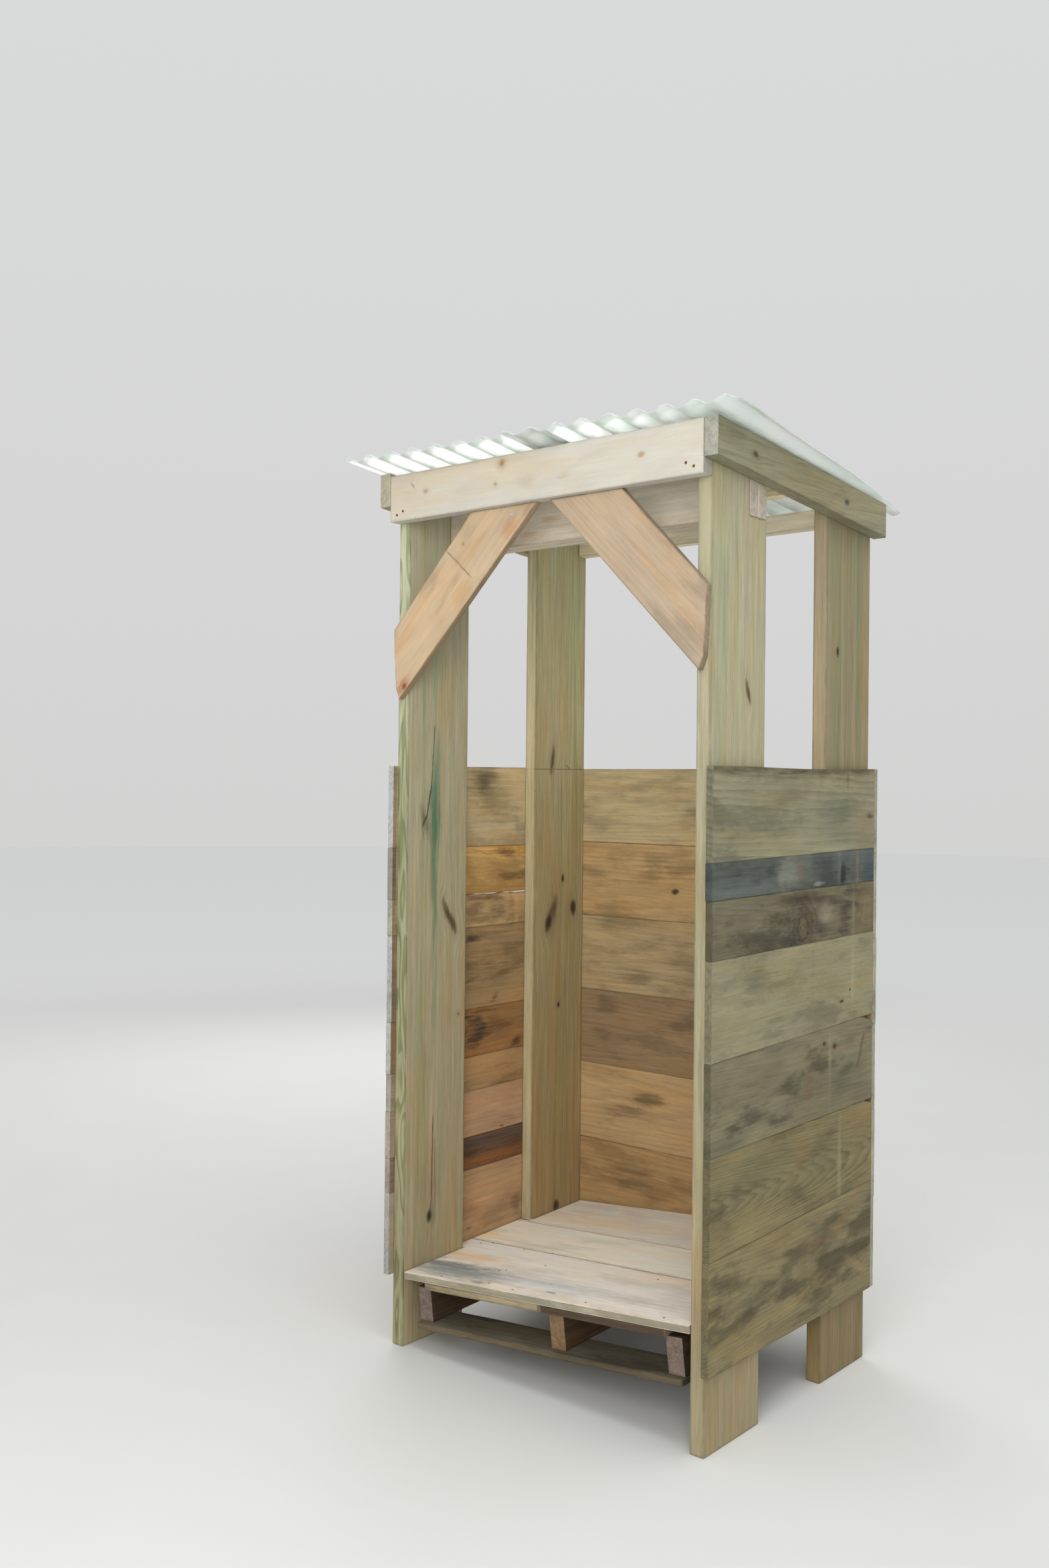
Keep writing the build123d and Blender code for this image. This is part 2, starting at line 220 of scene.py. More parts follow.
def wood(name, length, across, base, late=None, pale=None, band=None, seed=0, pitch=6.0, pith=(0.0, -60.0),
         lean=0.02, contrast=0.4, fibre=0.4, tone=0.25, mottle=0.0, dashes=0.0, sawn=0.0, knots=(), blobs=(),
         tracks=(), rough=(0.62, 0.88), bump=0.4, end=None, side=None, edge_dark=0.35, sweep=14.0, painted_light_ramp=None,
         weather=0.0, whorls=(), strip_tone_and_painted_shade=(), flame=None, warm=0.35, front_strip_painted_shade=None):
    """Sawn timber. length and across are the board's own directions in the
    hut frame; knots, blobs and tracks are placed (along, across) in hut
    millimetres. Colours are sRGB."""
    m = Net(name)
    tune = TUNE.get(name, (1.0, 1.0, 1.0))
    fibre, tone, mottle = fibre * 1.45, tone * 1.4, min(1.0, mottle * 1.5)

    def paint(c, f=1.0):
        lin = srgb(*[x * f for x in c])
        return (min(lin[0] * tune[0], 0.93), min(lin[1] * tune[1], 0.93), min(lin[2] * tune[2], 0.93), 1.0)

    eL, eW = Vector(length).normalized(), Vector(across).normalized()
    eN = eL.cross(eW).normalized()
    rnd = random.Random(seed * 7 + 13)
    off = Vector((rnd.uniform(-50, 50), rnd.uniform(-50, 50), rnd.uniform(-50, 50)))

    tex = m.node("ShaderNodeTexCoord").outputs["Object"]
    pos = m.vec("MULTIPLY_ADD", tex, (1000.0, 1000.0, 1000.0))
    pos.node.inputs[2].default_value = (-OX, -OY, 0.0)
    u = m.vec("DOT_PRODUCT", pos, tuple(eL))
    v = m.vec("DOT_PRODUCT", pos, tuple(eW))
    w = m.vec("DOT_PRODUCT", pos, tuple(eN))
    q = m.join(u, v, w)

    def field(src, scale, shift, detail, roughness=0.55):
        n = m.vec("MULTIPLY_ADD", src, scale)
        n.node.inputs[2].default_value = tuple(off * shift)
        return m.noise(n, 1.0, detail, roughness)

    # knots push the grain aside as it passes them
    eye = None
    spots = []
    for kn in knots:
        ku, kv, ru, rv_, ang, kind = kn
        ca, sa = math.cos(ang), math.sin(ang)
        du = m.math("SUBTRACT", u, ku)
        dv = m.math("SUBTRACT", v, kv)
        a = m.math("MULTIPLY_ADD", du, ca, m.math("MULTIPLY", dv, sa))
        b = m.math("MULTIPLY_ADD", du, -sa, m.math("MULTIPLY", dv, ca))
        far = m.vec("LENGTH", m.join(m.math("MULTIPLY", a, 1.0 / (ru * 1.3 + 5.0)), m.math("MULTIPLY", b, 1.0 / (rv_ * 1.5 + 4.0)), 0.0))
        g = m.math("EXPONENT", m.math("MULTIPLY", m.math("MULTIPLY", far, far), -0.7))
        push = m.math("MULTIPLY", m.math("MULTIPLY", dv, g), -0.75)
        eye = push if eye is None else m.math("ADD", eye, push)
        near = m.vec("LENGTH", m.join(m.math("MULTIPLY", a, 1.0 / ru), m.math("MULTIPLY", b, 1.0 / rv_), 0.0))
        spots.append((near, g, kind))
    qe = q if eye is None else m.vec("ADD", q, m.join(0.0, eye, 0.0))

    _, wob = field(q, (0.0015, 0.007, 0.007), 1.0, 2.0, 0.5)
    wob = m.vec("MULTIPLY", m.vec("SUBTRACT", wob, (0.5, 0.5, 0.5)), (0.0, sweep * 2, sweep * 2))
    q2 = m.vec("ADD", qe, wob)
    u2, v2, w2 = m.sep(q2)
    streak, _ = field(q2, (0.0035, 0.11, 0.11), 1.3, 2.0, 0.5)
    fib, _ = field(q2, (0.009, 0.45, 0.45), 1.7, 3.0, 0.6)
    fine, _ = field(q2, (0.04, 1.8, 1.8), 0.6, 2.0, 0.6)
    big, _ = field(q, (0.0032, 0.012, 0.012), 2.3, 3.0, 0.55)
    fuzz, _ = field(q, (0.018, 0.05, 0.05), 0.3, 4.0, 0.62)

    # growth rings about a pith line that leans away from the face
    rv2 = m.math("SUBTRACT", v2, pith[0])
    rw2 = m.math("MULTIPLY_ADD", u2, lean, m.math("SUBTRACT", w2, pith[1]))
    ring = m.math("DIVIDE", m.vec("LENGTH", m.join(0.0, rv2, rw2)), pitch)
    ring = m.math("MULTIPLY_ADD", m.math("SUBTRACT", streak, 0.5), 0.9, ring)
    for (hu, hv, hru, hrv, turns) in whorls:
        far = m.vec("LENGTH", m.join(m.math("MULTIPLY", m.math("SUBTRACT", u2, hu), 1.0 / hru), m.math("MULTIPLY", m.math("SUBTRACT", v2, hv), 1.0 / hrv), 0.0))
        ring = m.math("MULTIPLY_ADD", m.math("EXPONENT", m.math("MULTIPLY", m.math("MULTIPLY", far, far), -0.8)), turns, ring)
    frac = m.math("FRACT", ring)
    late_m = m.math("MULTIPLY", m.span(frac, 0.2, 0.84), m.span(frac, 1.0, 0.88))
    width = m.math("FLOOR", ring)
    wn_ = m.node("ShaderNodeTexWhiteNoise", noise_dimensions="1D")
    m.put(wn_.inputs["W"], width)
    late_m = m.math("MULTIPLY", late_m, m.span(wn_.outputs["Value"], 0.0, 1.0, 0.35, 1.0, smooth=False))
    late_m = m.math("MULTIPLY", late_m, contrast)
    late_m = m.math("MULTIPLY", late_m, m.span(big, 0.25, 0.7, 0.5, 1.0))

    base_c = paint(base)
    late_c = paint(late or tuple(c * 0.78 for c in base))
    pale_c = paint(pale or tuple(min(255.0, c * 1.1) for c in base))
    col = m.mix(m.span(big, 0.32, 0.7), pale_c, base_c)
    if band:
        bn_, _ = field(q2, (0.0005, 0.028, 0.028), 3.1, 2.0, 0.5)
        col = m.mix(m.math("MULTIPLY", m.span(bn_, 0.4, 0.62), band[1]), col, paint(band[0]))
    col = m.mix(late_m, col, late_c)
    if warm:
        hu_, _ = field(q, (0.0026, 0.016, 0.016), 7.3, 3.0, 0.55)
        hot = paint((min(255.0, base[0] * 1.06), base[1] * 0.95, base[2] * 0.80))
        col = m.mix(m.math("MULTIPLY", m.span(hu_, 0.46, 0.66), warm), col, hot)
    if flame:
        v_at, half, light, dark, amount = flame
        fl_, _ = field(q, (0.0042, 0.0, 0.030), 8.9, 1.0, 0.5)
        tongue = m.math("FRACT", m.math("MULTIPLY", fl_, 5.5))
        tongue = m.math("MULTIPLY", m.span(tongue, 0.25, 0.8), m.span(tongue, 1.0, 0.9))
        on = m.math("MULTIPLY", m.span(m.math("ABSOLUTE", m.math("SUBTRACT", v, v_at)), half + 1.5, half), amount)
        col = m.mix(on, col, m.mix(tongue, paint(light), paint(dark)))
    if mottle:
        mo, _ = field(q, (0.0075, 0.021, 0.021), 4.7, 5.0, 0.62)
        cloud, _ = field(q, (0.0021, 0.0085, 0.0085), 6.1, 2.0, 0.5)
        mo = m.math("MULTIPLY_ADD", m.math("SUBTRACT", cloud, 0.5), 0.9, mo)
        col = m.mix(m.math("MULTIPLY", m.span(mo, 0.5, 0.72), mottle), col, paint(base, 0.64))
        col = m.mix(m.math("MULTIPLY", m.span(mo, 0.47, 0.3), mottle * 0.7), col, paint(base, 1.14))
    if dashes:
        da, _ = field(q2, (0.05, 0.9, 0.9), 5.9, 2.0, 0.5)
        col = m.mix(m.math("MULTIPLY", m.span(da, 0.62, 0.72), dashes), col, paint(base, 0.5))
    f = m.math("MULTIPLY_ADD", m.math("SUBTRACT", streak, 0.5), fibre * 1.1, 1.0)
    f = m.math("MULTIPLY_ADD", m.math("SUBTRACT", fib, 0.5), fibre * 1.5, f)
    f = m.math("MULTIPLY_ADD", m.math("SUBTRACT", fine, 0.5), fibre * 1.0, f)
    f = m.math("MULTIPLY_ADD", m.math("SUBTRACT", big, 0.5), tone * 2.4, f)
    if sawn:
        sw = m.math("SINE", m.math("MULTIPLY_ADD", u, 1.35, m.math("MULTIPLY", fuzz, 9.0)))
        f = m.math("MULTIPLY_ADD", m.math("MULTIPLY", sw, m.span(fuzz, 0.35, 0.6)), sawn * 0.07, f)
    for (hu, hv, hru, hrv, turns) in whorls:
        far = m.vec("LENGTH", m.join(m.math("MULTIPLY", m.math("SUBTRACT", u2, hu), 1.0 / hru), m.math("MULTIPLY", m.math("SUBTRACT", v2, hv), 1.0 / hrv), 0.0))
        far = m.math("MULTIPLY_ADD", m.math("SUBTRACT", fuzz, 0.5), 0.9, far)
        wave = m.math("SINE", m.math("MULTIPLY", far, turns * 5.2))
        on = m.math("MULTIPLY", m.span(far, 1.7, 0.5), m.span(wave, -0.2, 1.0))
        f = m.math("MULTIPLY", f, m.math("MULTIPLY_ADD", on, -0.34, 1.0))
    grain3 = m.join(f, f, f)
    col = m.mix(1.0, col, grain3, "MULTIPLY")

    rag_src = m.math("MULTIPLY_ADD", m.math("SUBTRACT", streak, 0.5), 0.6, fuzz)
    for blob in blobs:
        bu, bv, ru, rv_, color, power = blob[:6]
        extra = list(blob[6:]) + [0.0, 0.6, 0.8][len(blob) - 6:]
        angle, soft, rag = extra[:3]
        ca, sa = math.cos(angle), math.sin(angle)
        bx = m.math("SUBTRACT", u, bu)
        by = m.math("SUBTRACT", v, bv)
        x2 = m.math("ADD", m.math("MULTIPLY", bx, ca / ru), m.math("MULTIPLY", by, sa / ru))
        y2 = m.math("ADD", m.math("MULTIPLY", bx, -sa / rv_), m.math("MULTIPLY", by, ca / rv_))
        dd = m.vec("LENGTH", m.join(x2, y2, 0.0))
        dd = m.math("MULTIPLY_ADD", m.math("SUBTRACT", rag_src, 0.5), rag * 2.0, dd)
        mask = m.math("MULTIPLY", m.span(dd, 1.0 + soft * 0.5, 1.0 - soft), power)
        tint = m.mix(1.0, (*paint(color)[:3], 1.0), grain3, "MULTIPLY")
        col = m.mix(mask, col, tint)
    for (t0, t1, color, power, wide) in tracks:
        a = Vector((t0[0], t0[1], 0.0))
        dvec = Vector((t1[0], t1[1], 0.0)) - a
        ln = dvec.length
        dvec.normalize()
        rel = m.vec("SUBTRACT", m.join(u, v, 0.0), tuple(a))
        al = m.vec("DOT_PRODUCT", rel, tuple(dvec))
        ac = m.vec("DOT_PRODUCT", rel, (-dvec.y, dvec.x, 0.0))
        ac = m.math("MULTIPLY_ADD", m.math("SUBTRACT", fuzz, 0.5), wide * 2.2, ac)
        ac = m.math("ABSOLUTE", ac)
        mask = m.math("MULTIPLY", m.span(ac, wide, wide * 0.3),
                      m.math("MULTIPLY", m.span(al, -10.0, 8.0), m.span(al, ln + 10.0, ln - 14.0)))
        col = m.mix(m.math("MULTIPLY", mask, power), col, paint(color))

    knot_h = None
    for near, g, kind in spots:
        wob_d = m.math("MULTIPLY_ADD", m.math("SUBTRACT", rag_src, 0.5), 1.0, near)
        body = m.span(wob_d, 1.15, 0.78)
        core = m.span(wob_d, 0.85, 0.3)
        if kind == "spike":
            c1, c2, p1, p2 = (106, 94, 64), (66, 54, 38), 0.85, 0.8
        elif kind == "dark":
            c1, c2, p1, p2 = (84, 68, 48), (46, 38, 30), 0.92, 0.9
        elif kind == "black":
            c1, c2, p1, p2 = (88, 86, 62), (36, 36, 28), 0.9, 0.95
        elif kind == "rust":
            c1, c2, p1, p2 = (158, 106, 66), (140, 82, 46), 0.8, 0.8
        elif kind == "tan":
            c1, c2, p1, p2 = (190, 160, 116), (166, 126, 80), 0.8, 0.75
        elif kind == "soft":
            c1, c2, p1, p2 = (base[0] * 0.93, base[1] * 0.86, base[2] * 0.76), (base[0] * 0.83, base[1] * 0.71, base[2] * 0.57), 0.7, 0.6
        else:
            c1, c2, p1, p2 = tuple(c * 0.72 for c in base), tuple(c * 0.5 for c in base), 0.8, 0.75
        halo = m.math("MULTIPLY", m.span(g, 0.1, 0.9), 0.22 if kind != "soft" else 0.1)
        col = m.mix(halo, col, paint(tuple(c * 0.8 for c in base)))
        col = m.mix(m.math("MULTIPLY", body, p1), col, m.mix(1.0, paint(c1), grain3, "MULTIPLY"))
        col = m.mix(m.math("MULTIPLY", core, p2), col, paint(c2))
        knot_h = body if knot_h is None else m.math("MAXIMUM", knot_h, body)

    if weather:
        lum = sum(base) / 3.0
        grey = m.math("MULTIPLY", m.span(fuzz, 0.4, 0.66), weather)
        col = m.mix(grey, col, m.mix(1.0, paint((lum * 0.92, lum * 0.95, lum * 0.93)), grain3, "MULTIPLY"))

    # tinted strips along one face, ramped along the length: partly the wood's own tone, partly painted shade
    for (v_at, half, u0, u1, ca, cb) in strip_tone_and_painted_shade:
        on = m.span(m.math("ABSOLUTE", m.math("SUBTRACT", v, v_at)), half + 1.5, half)
        gt = m.span(u, u0, u1)
        tint = m.mix(gt, (*ca, 1.0), (*cb, 1.0))
        col = m.mix(on, col, m.mix(1.0, col, tint, "MULTIPLY"))
    # painted light: a multiplying ramp along the length, darker and warmer at the low end, lighter and cooler at
    # the high end, for light falling more on the upper part
    if painted_light_ramp:
        gt = m.span(u, painted_light_ramp[0], painted_light_ramp[1], 0.0, 1.0, smooth=False)
        col = m.mix(1.0, col, m.mix(gt, (*painted_light_ramp[2], 1.0), (*painted_light_ramp[3], 1.0)), "MULTIPLY")

    # painted shade: the stretch of board in front of the post, in the corner beside it, is darkened
    if front_strip_painted_shade:
        on = m.math("MULTIPLY", m.span(u, 6.0, -6.0), m.span(fuzz, 0.2, 0.6, front_strip_painted_shade[1] * 0.8, front_strip_painted_shade[1]))
        col = m.mix(on, col, m.mix(1.0, paint(front_strip_painted_shade[0]), grain3, "MULTIPLY"))
    edge = m.attr("edge")
    if side:
        sm = m.math("MULTIPLY", m.attr("side"), m.span(fuzz, 0.2, 0.6, side[1] * 0.75, side[1]))
        col = m.mix(sm, col, m.mix(1.0, paint(side[0]), grain3, "MULTIPLY"))
    wear = m.math("MULTIPLY", m.math("POWER", edge, 2.0), edge_dark)
    wear = m.math("MULTIPLY", wear, m.span(fuzz, 0.3, 0.65, 0.3, 1.2))
    col = m.mix(wear, col, paint(base, 0.6))
    if end:
        end_c = tuple(c * 0.9 for c in srgb(*end)[:3]) + (1.0,)
        end_d = tuple(c * 0.5 for c in end_c[:3]) + (1.0,)
    else:
        end_c, end_d = paint(base, 0.85), paint(base, 0.58)
    end_r = m.mix(m.math("MULTIPLY", late_m, 1.1), end_c, end_d)
    end_r = m.mix(m.math("MULTIPLY", m.span(fuzz, 0.45, 0.7), 0.4), end_r, end_d)
    col = m.mix(m.attr("endg"), col, m.mix(1.0, end_r, grain3, "MULTIPLY"))

    bsdf = m.node("ShaderNodeBsdfPrincipled")
    out = m.node("ShaderNodeOutputMaterial")
    m.put(bsdf.inputs["Base Color"], col)
    m.put(bsdf.inputs["Roughness"], m.span(fib, 0.3, 0.7, rough[1], rough[0]))
    bsdf.inputs["Specular IOR Level"].default_value = 0.28
    h = m.math("MULTIPLY_ADD", fib, 0.7, m.math("MULTIPLY", fine, 0.35))
    h = m.math("MULTIPLY_ADD", late_m, -0.4, h)
    if knot_h is not None:
        h = m.math("MULTIPLY_ADD", knot_h, -0.5, h)
    bn = m.node("ShaderNodeBump")
    bn.inputs["Strength"].default_value = bump
    bn.inputs["Distance"].default_value = 0.0012
    m.put(bn.inputs["Height"], h)
    m.put(bsdf.inputs["Normal"], bn.outputs[0])
    m.put(out.inputs[0], bsdf.outputs[0])
    return m.mat


def sheet_material(name):
    """White translucent corrugated plastic, slightly dusty along its valleys."""
    m = Net(name)
    tex = m.node("ShaderNodeTexCoord").outputs["Object"]
    big, _ = m.noise(m.vec("MULTIPLY", tex, (14.0, 2.5, 6.0)), 1.0, 3.0, 0.6)
    dust, _ = m.noise(m.vec("MULTIPLY", tex, (60.0, 22.0, 30.0)), 1.0, 4.0, 0.65)
    col = m.mix(m.span(big, 0.35, 0.7), srgb(249, 251, 250), srgb(236, 244, 240))
    col = m.mix(m.math("MULTIPLY", m.span(dust, 0.55, 0.75), 0.25), col, srgb(205, 214, 200))
    along = m.vec("DOT_PRODUCT", tex, (1000.0 * SKC, 1000.0 * SKS, 0.0))
    start = -(S_LEFT + OX) * SKC - (S_FRONT + OY) * SKS + 24.0
    turn = m.math("MULTIPLY", m.math("ADD", along, start), 2.0 * math.pi / 75.0)
    valley = m.span(m.math("COSINE", turn), 0.1, 1.0)
    col = m.mix(m.math("MULTIPLY", valley, m.span(dust, 0.25, 0.65, 0.2, 0.6)), col, srgb(196, 207, 198))
    bsdf = m.node("ShaderNodeBsdfPrincipled")
    out = m.node("ShaderNodeOutputMaterial")
    m.put(bsdf.inputs["Base Color"], col)
    m.put(bsdf.inputs["Roughness"], m.span(dust, 0.3, 0.7, 0.28, 0.5))
    bsdf.inputs["Transmission Weight"].default_value = 0.5
    bsdf.inputs["IOR"].default_value = 1.12
    bn = m.node("ShaderNodeBump")
    bn.inputs["Strength"].default_value = 0.15
    bn.inputs["Distance"].default_value = 0.0006
    m.put(bn.inputs["Height"], dust)
    m.put(bsdf.inputs["Normal"], bn.outputs[0])
    m.put(out.inputs[0], bsdf.outputs[0])
    return m.mat


def metal_material(name, a, b, rough=0.45):
    m = Net(name)
    tex = m.node("ShaderNodeTexCoord").outputs["Object"]
    n1, _ = m.noise(tex, 900.0, 3.0, 0.6)
    col = m.mix(m.span(n1, 0.35, 0.65), srgb(*a), srgb(*b))
    bsdf = m.node("ShaderNodeBsdfPrincipled")
    out = m.node("ShaderNodeOutputMaterial")
    m.put(bsdf.inputs["Base Color"], col)
    bsdf.inputs["Metallic"].default_value = 0.85
    m.put(bsdf.inputs["Roughness"], m.span(n1, 0.3, 0.7, rough, rough + 0.25))
    bn = m.node("ShaderNodeBump")
    bn.inputs["Strength"].default_value = 0.3
    bn.inputs["Distance"].default_value = 0.0002
    m.put(bn.inputs["Height"], n1)
    m.put(bsdf.inputs["Normal"], bn.outputs[0])
    m.put(out.inputs[0], bsdf.outputs[0])
    return m.mat


# -------------------------------------------------------------- mesh helpers
def ragged(p, q, step=26.0, amp=0.5, seed=0, skip_last=True):
    """Points from p to q with the small wander of a sawn edge."""
    p, q = Vector(p), Vector(q)
    d = q - p
    n = max(1, int(round(d.length / step)))
    side = Vector((-d.y, d.x)).normalized()
    pts = []
    for i in range(n + (0 if skip_last else 1)):
        t = i / n
        fade = min(1.0, min(t, 1.0 - t) * n / 1.5) if n > 2 else 0.0
        s = (p + d * t).length
        k = noise.noise(Vector((s * 0.011, seed * 3.7, 1.3))) * 0.7 + noise.noise(Vector((s * 0.05, seed * 1.9, 7.1))) * 0.3
        pts.append(tuple(p + d * t + side * (k * amp * 2.0 * fade)))
    return pts


def ragged_loop(corners, step=26.0, amp=0.5, seed=0):
    pts = []
    for i in range(len(corners)):
        pts += ragged(corners[i], corners[(i + 1) % len(corners)], step, amp, seed + i * 11)
    return pts


def plank(name, outline, origin, e1, e2, thick, mat, nodes, bevel=1.2, step=(60.0, 30.0),
          bow=0.6, seed=0, end_axis=0, skin=0.12):
    """A board from its outline in the plane of e1 and e2 (hut millimetres),
    as thick as it is along e1 x e2, with eased arrises and an uneven face."""
    e1, e2 = Vector(e1).normalized(), Vector(e2).normalized()
    n = e1.cross(e2).normalized()
    bm = bmesh.new()
    vs = [bm.verts.new((a, b, 0.0)) for a, b in outline]
    f = bm.faces.new(vs)
    f.normal_update()
    ret = bmesh.ops.extrude_face_region(bm, geom=[f])
    top = [g for g in ret["geom"] if isinstance(g, bmesh.types.BMVert)]
    bmesh.ops.translate(bm, verts=top, vec=(0.0, 0.0, thick))
    bmesh.ops.recalc_face_normals(bm, faces=bm.faces[:])
    sharp = [e for e in bm.edges if len(e.link_faces) == 2 and e.calc_face_angle(0.0) > math.radians(20)]
    bmesh.ops.bevel(bm, geom=sharp, offset=bevel, segments=2, profile=0.55, affect="EDGES", clamp_overlap=True)
    bm.normal_update()
    wide = []
    for fc in bm.faces:
        if abs(fc.normal.z) > 0.999:
            if fc.calc_area() > 200.0:
                wide.append(fc)
        elif abs(fc.normal.z) < 0.05:
            xs = [vv.co.x for vv in fc.verts]
            ys = [vv.co.y for vv in fc.verts]
            if math.hypot(max(xs) - min(xs), max(ys) - min(ys)) > 3.2 * bevel:
                wide.append(fc)
    bmesh.ops.inset_region(bm, faces=wide, thickness=min(3.2, bevel * 2.2), use_even_offset=True)
    layer = bm.verts.layers.float.new("edge")
    inner = set()
    for fc in wide:
        if fc.is_valid:
            for vv in fc.verts:
                inner.add(vv)
    for vv in bm.verts:
        vv[layer] = 0.0 if vv in inner else 1.0
    lo = Vector((min(a for a, b in outline), min(b for a, b in outline)))
    hi = Vector((max(a for a, b in outline), max(b for a, b in outline)))
    for axis in (0, 1):
        count = int((hi[axis] - lo[axis]) / step[axis])
        for i in range(1, count + 1):
            at = lo[axis] + (hi[axis] - lo[axis]) * i / (count + 1)
            co = [0.0, 0.0, 0.0]; no = [0.0, 0.0, 0.0]
            co[axis] = at; no[axis] = 1.0
            bmesh.ops.bisect_plane(bm, geom=bm.verts[:] + bm.edges[:] + bm.faces[:], dist=0.02, plane_co=co, plane_no=no)
    # sides have a middle line that isn't an arris
    bm.normal_update()
    ends = bm.faces.layers.int.new("is_end")
    for fc in bm.faces:
        nn = fc.normal
        if abs(nn[end_axis]) > 0.7:
            fc[ends] = 1
        elif abs(nn.z) < 0.3:
            fc[ends] = 2
    origin = Vector(origin)
    for vv in bm.verts:
        a, b, c = vv.co
        s = seed * 5.3
        wave = noise.noise(Vector((a * 0.0035, b * 0.006, s))) * bow
        mid = 1.0 - vv[layer]
        side = 1.0 if c > thick * 0.5 else -1.0
        rough_ = noise.noise(Vector((a * 0.03, b * 0.05, s + c))) * skin * mid * side
        p = e1 * a + e2 * b + n * (c + wave + rough_) + origin
        vv.co = inside(R(*p), 0.0001)
    me = bpy.data.meshes.new(name)
    bm.to_mesh(me)
    is_end = [0] * len(me.polygons)
    me.attributes["is_end"].data.foreach_get("value", is_end)
    bm.free()
    for word, number in (("endg", 1), ("side", 2)):
        at = me.attributes.new(word, "FLOAT", "CORNER")
        vals = [0.0] * len(me.loops)
        for poly in me.polygons:
            if is_end[poly.index] == number:
                for li in poly.loop_indices:
                    vals[li] = 1.0
        at.data.foreach_set("value", vals)
    me.attributes.remove(me.attributes["is_end"])
    me.shade_smooth()
    me.set_sharp_from_angle(angle=math.radians(38))
    me.materials.append(mat)
    ob = bpy.data.objects.new(name, me)
    bpy.context.scene.collection.objects.link(ob)
    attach(ob, "root")
    if nodes:
        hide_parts(*nodes)
    return ob


def lathe(name, profile, centre, axis, mat, seg=20):
    """A small turned piece, such as a nail head: profile is (radius, height)
    in millimetres, height running out along axis from centre."""
    bm = bmesh.new()
    rings = []
    for rr, hh in profile:
        if rr < 1e-6:
            rings.append([bm.verts.new((0, 0, hh))])
        else:
            rings.append([bm.verts.new((rr * math.cos(2 * math.pi * i / seg), rr * math.sin(2 * math.pi * i / seg), hh)) for i in range(seg)])
    for a, b in zip(rings, rings[1:]):
        for i in range(seg):
            j = (i + 1) % seg
            if len(a) == 1:
                bm.faces.new((a[0], b[i], b[j]))
            elif len(b) == 1:
                bm.faces.new((a[i], a[j], b[0]))
            else:
                bm.faces.new((a[i], a[j], b[j], b[i]))
    bmesh.ops.recalc_face_normals(bm, faces=bm.faces[:])
    rot = Vector((0, 0, 1)).rotation_difference(Vector(axis).normalized()).to_matrix()
    c = Vector(centre)
    for vv in bm.verts:
        vv.co = R(*(rot @ vv.co + c))
    me = bpy.data.meshes.new(name)
    bm.to_mesh(me)
    bm.free()
    me.shade_smooth()
    me.set_sharp_from_angle(angle=math.radians(50))
    me.materials.append(mat)
    ob = bpy.data.objects.new(name, me)
    bpy.context.scene.collection.objects.link(ob)
    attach(ob, "root")
    return ob


# ------------------------------------------------------------------- colours
YL, ZL, XL = (0, 1, 0), (0, 0, 1), (1, 0, 0)
# painted light up the posts: darker and warmer at the foot, lighter and cooler at the top
POST_PAINTED_LIGHT_RAMP = (250.0, 2150.0, (0.90, 0.82, 0.76), (1.06, 1.10, 1.16))

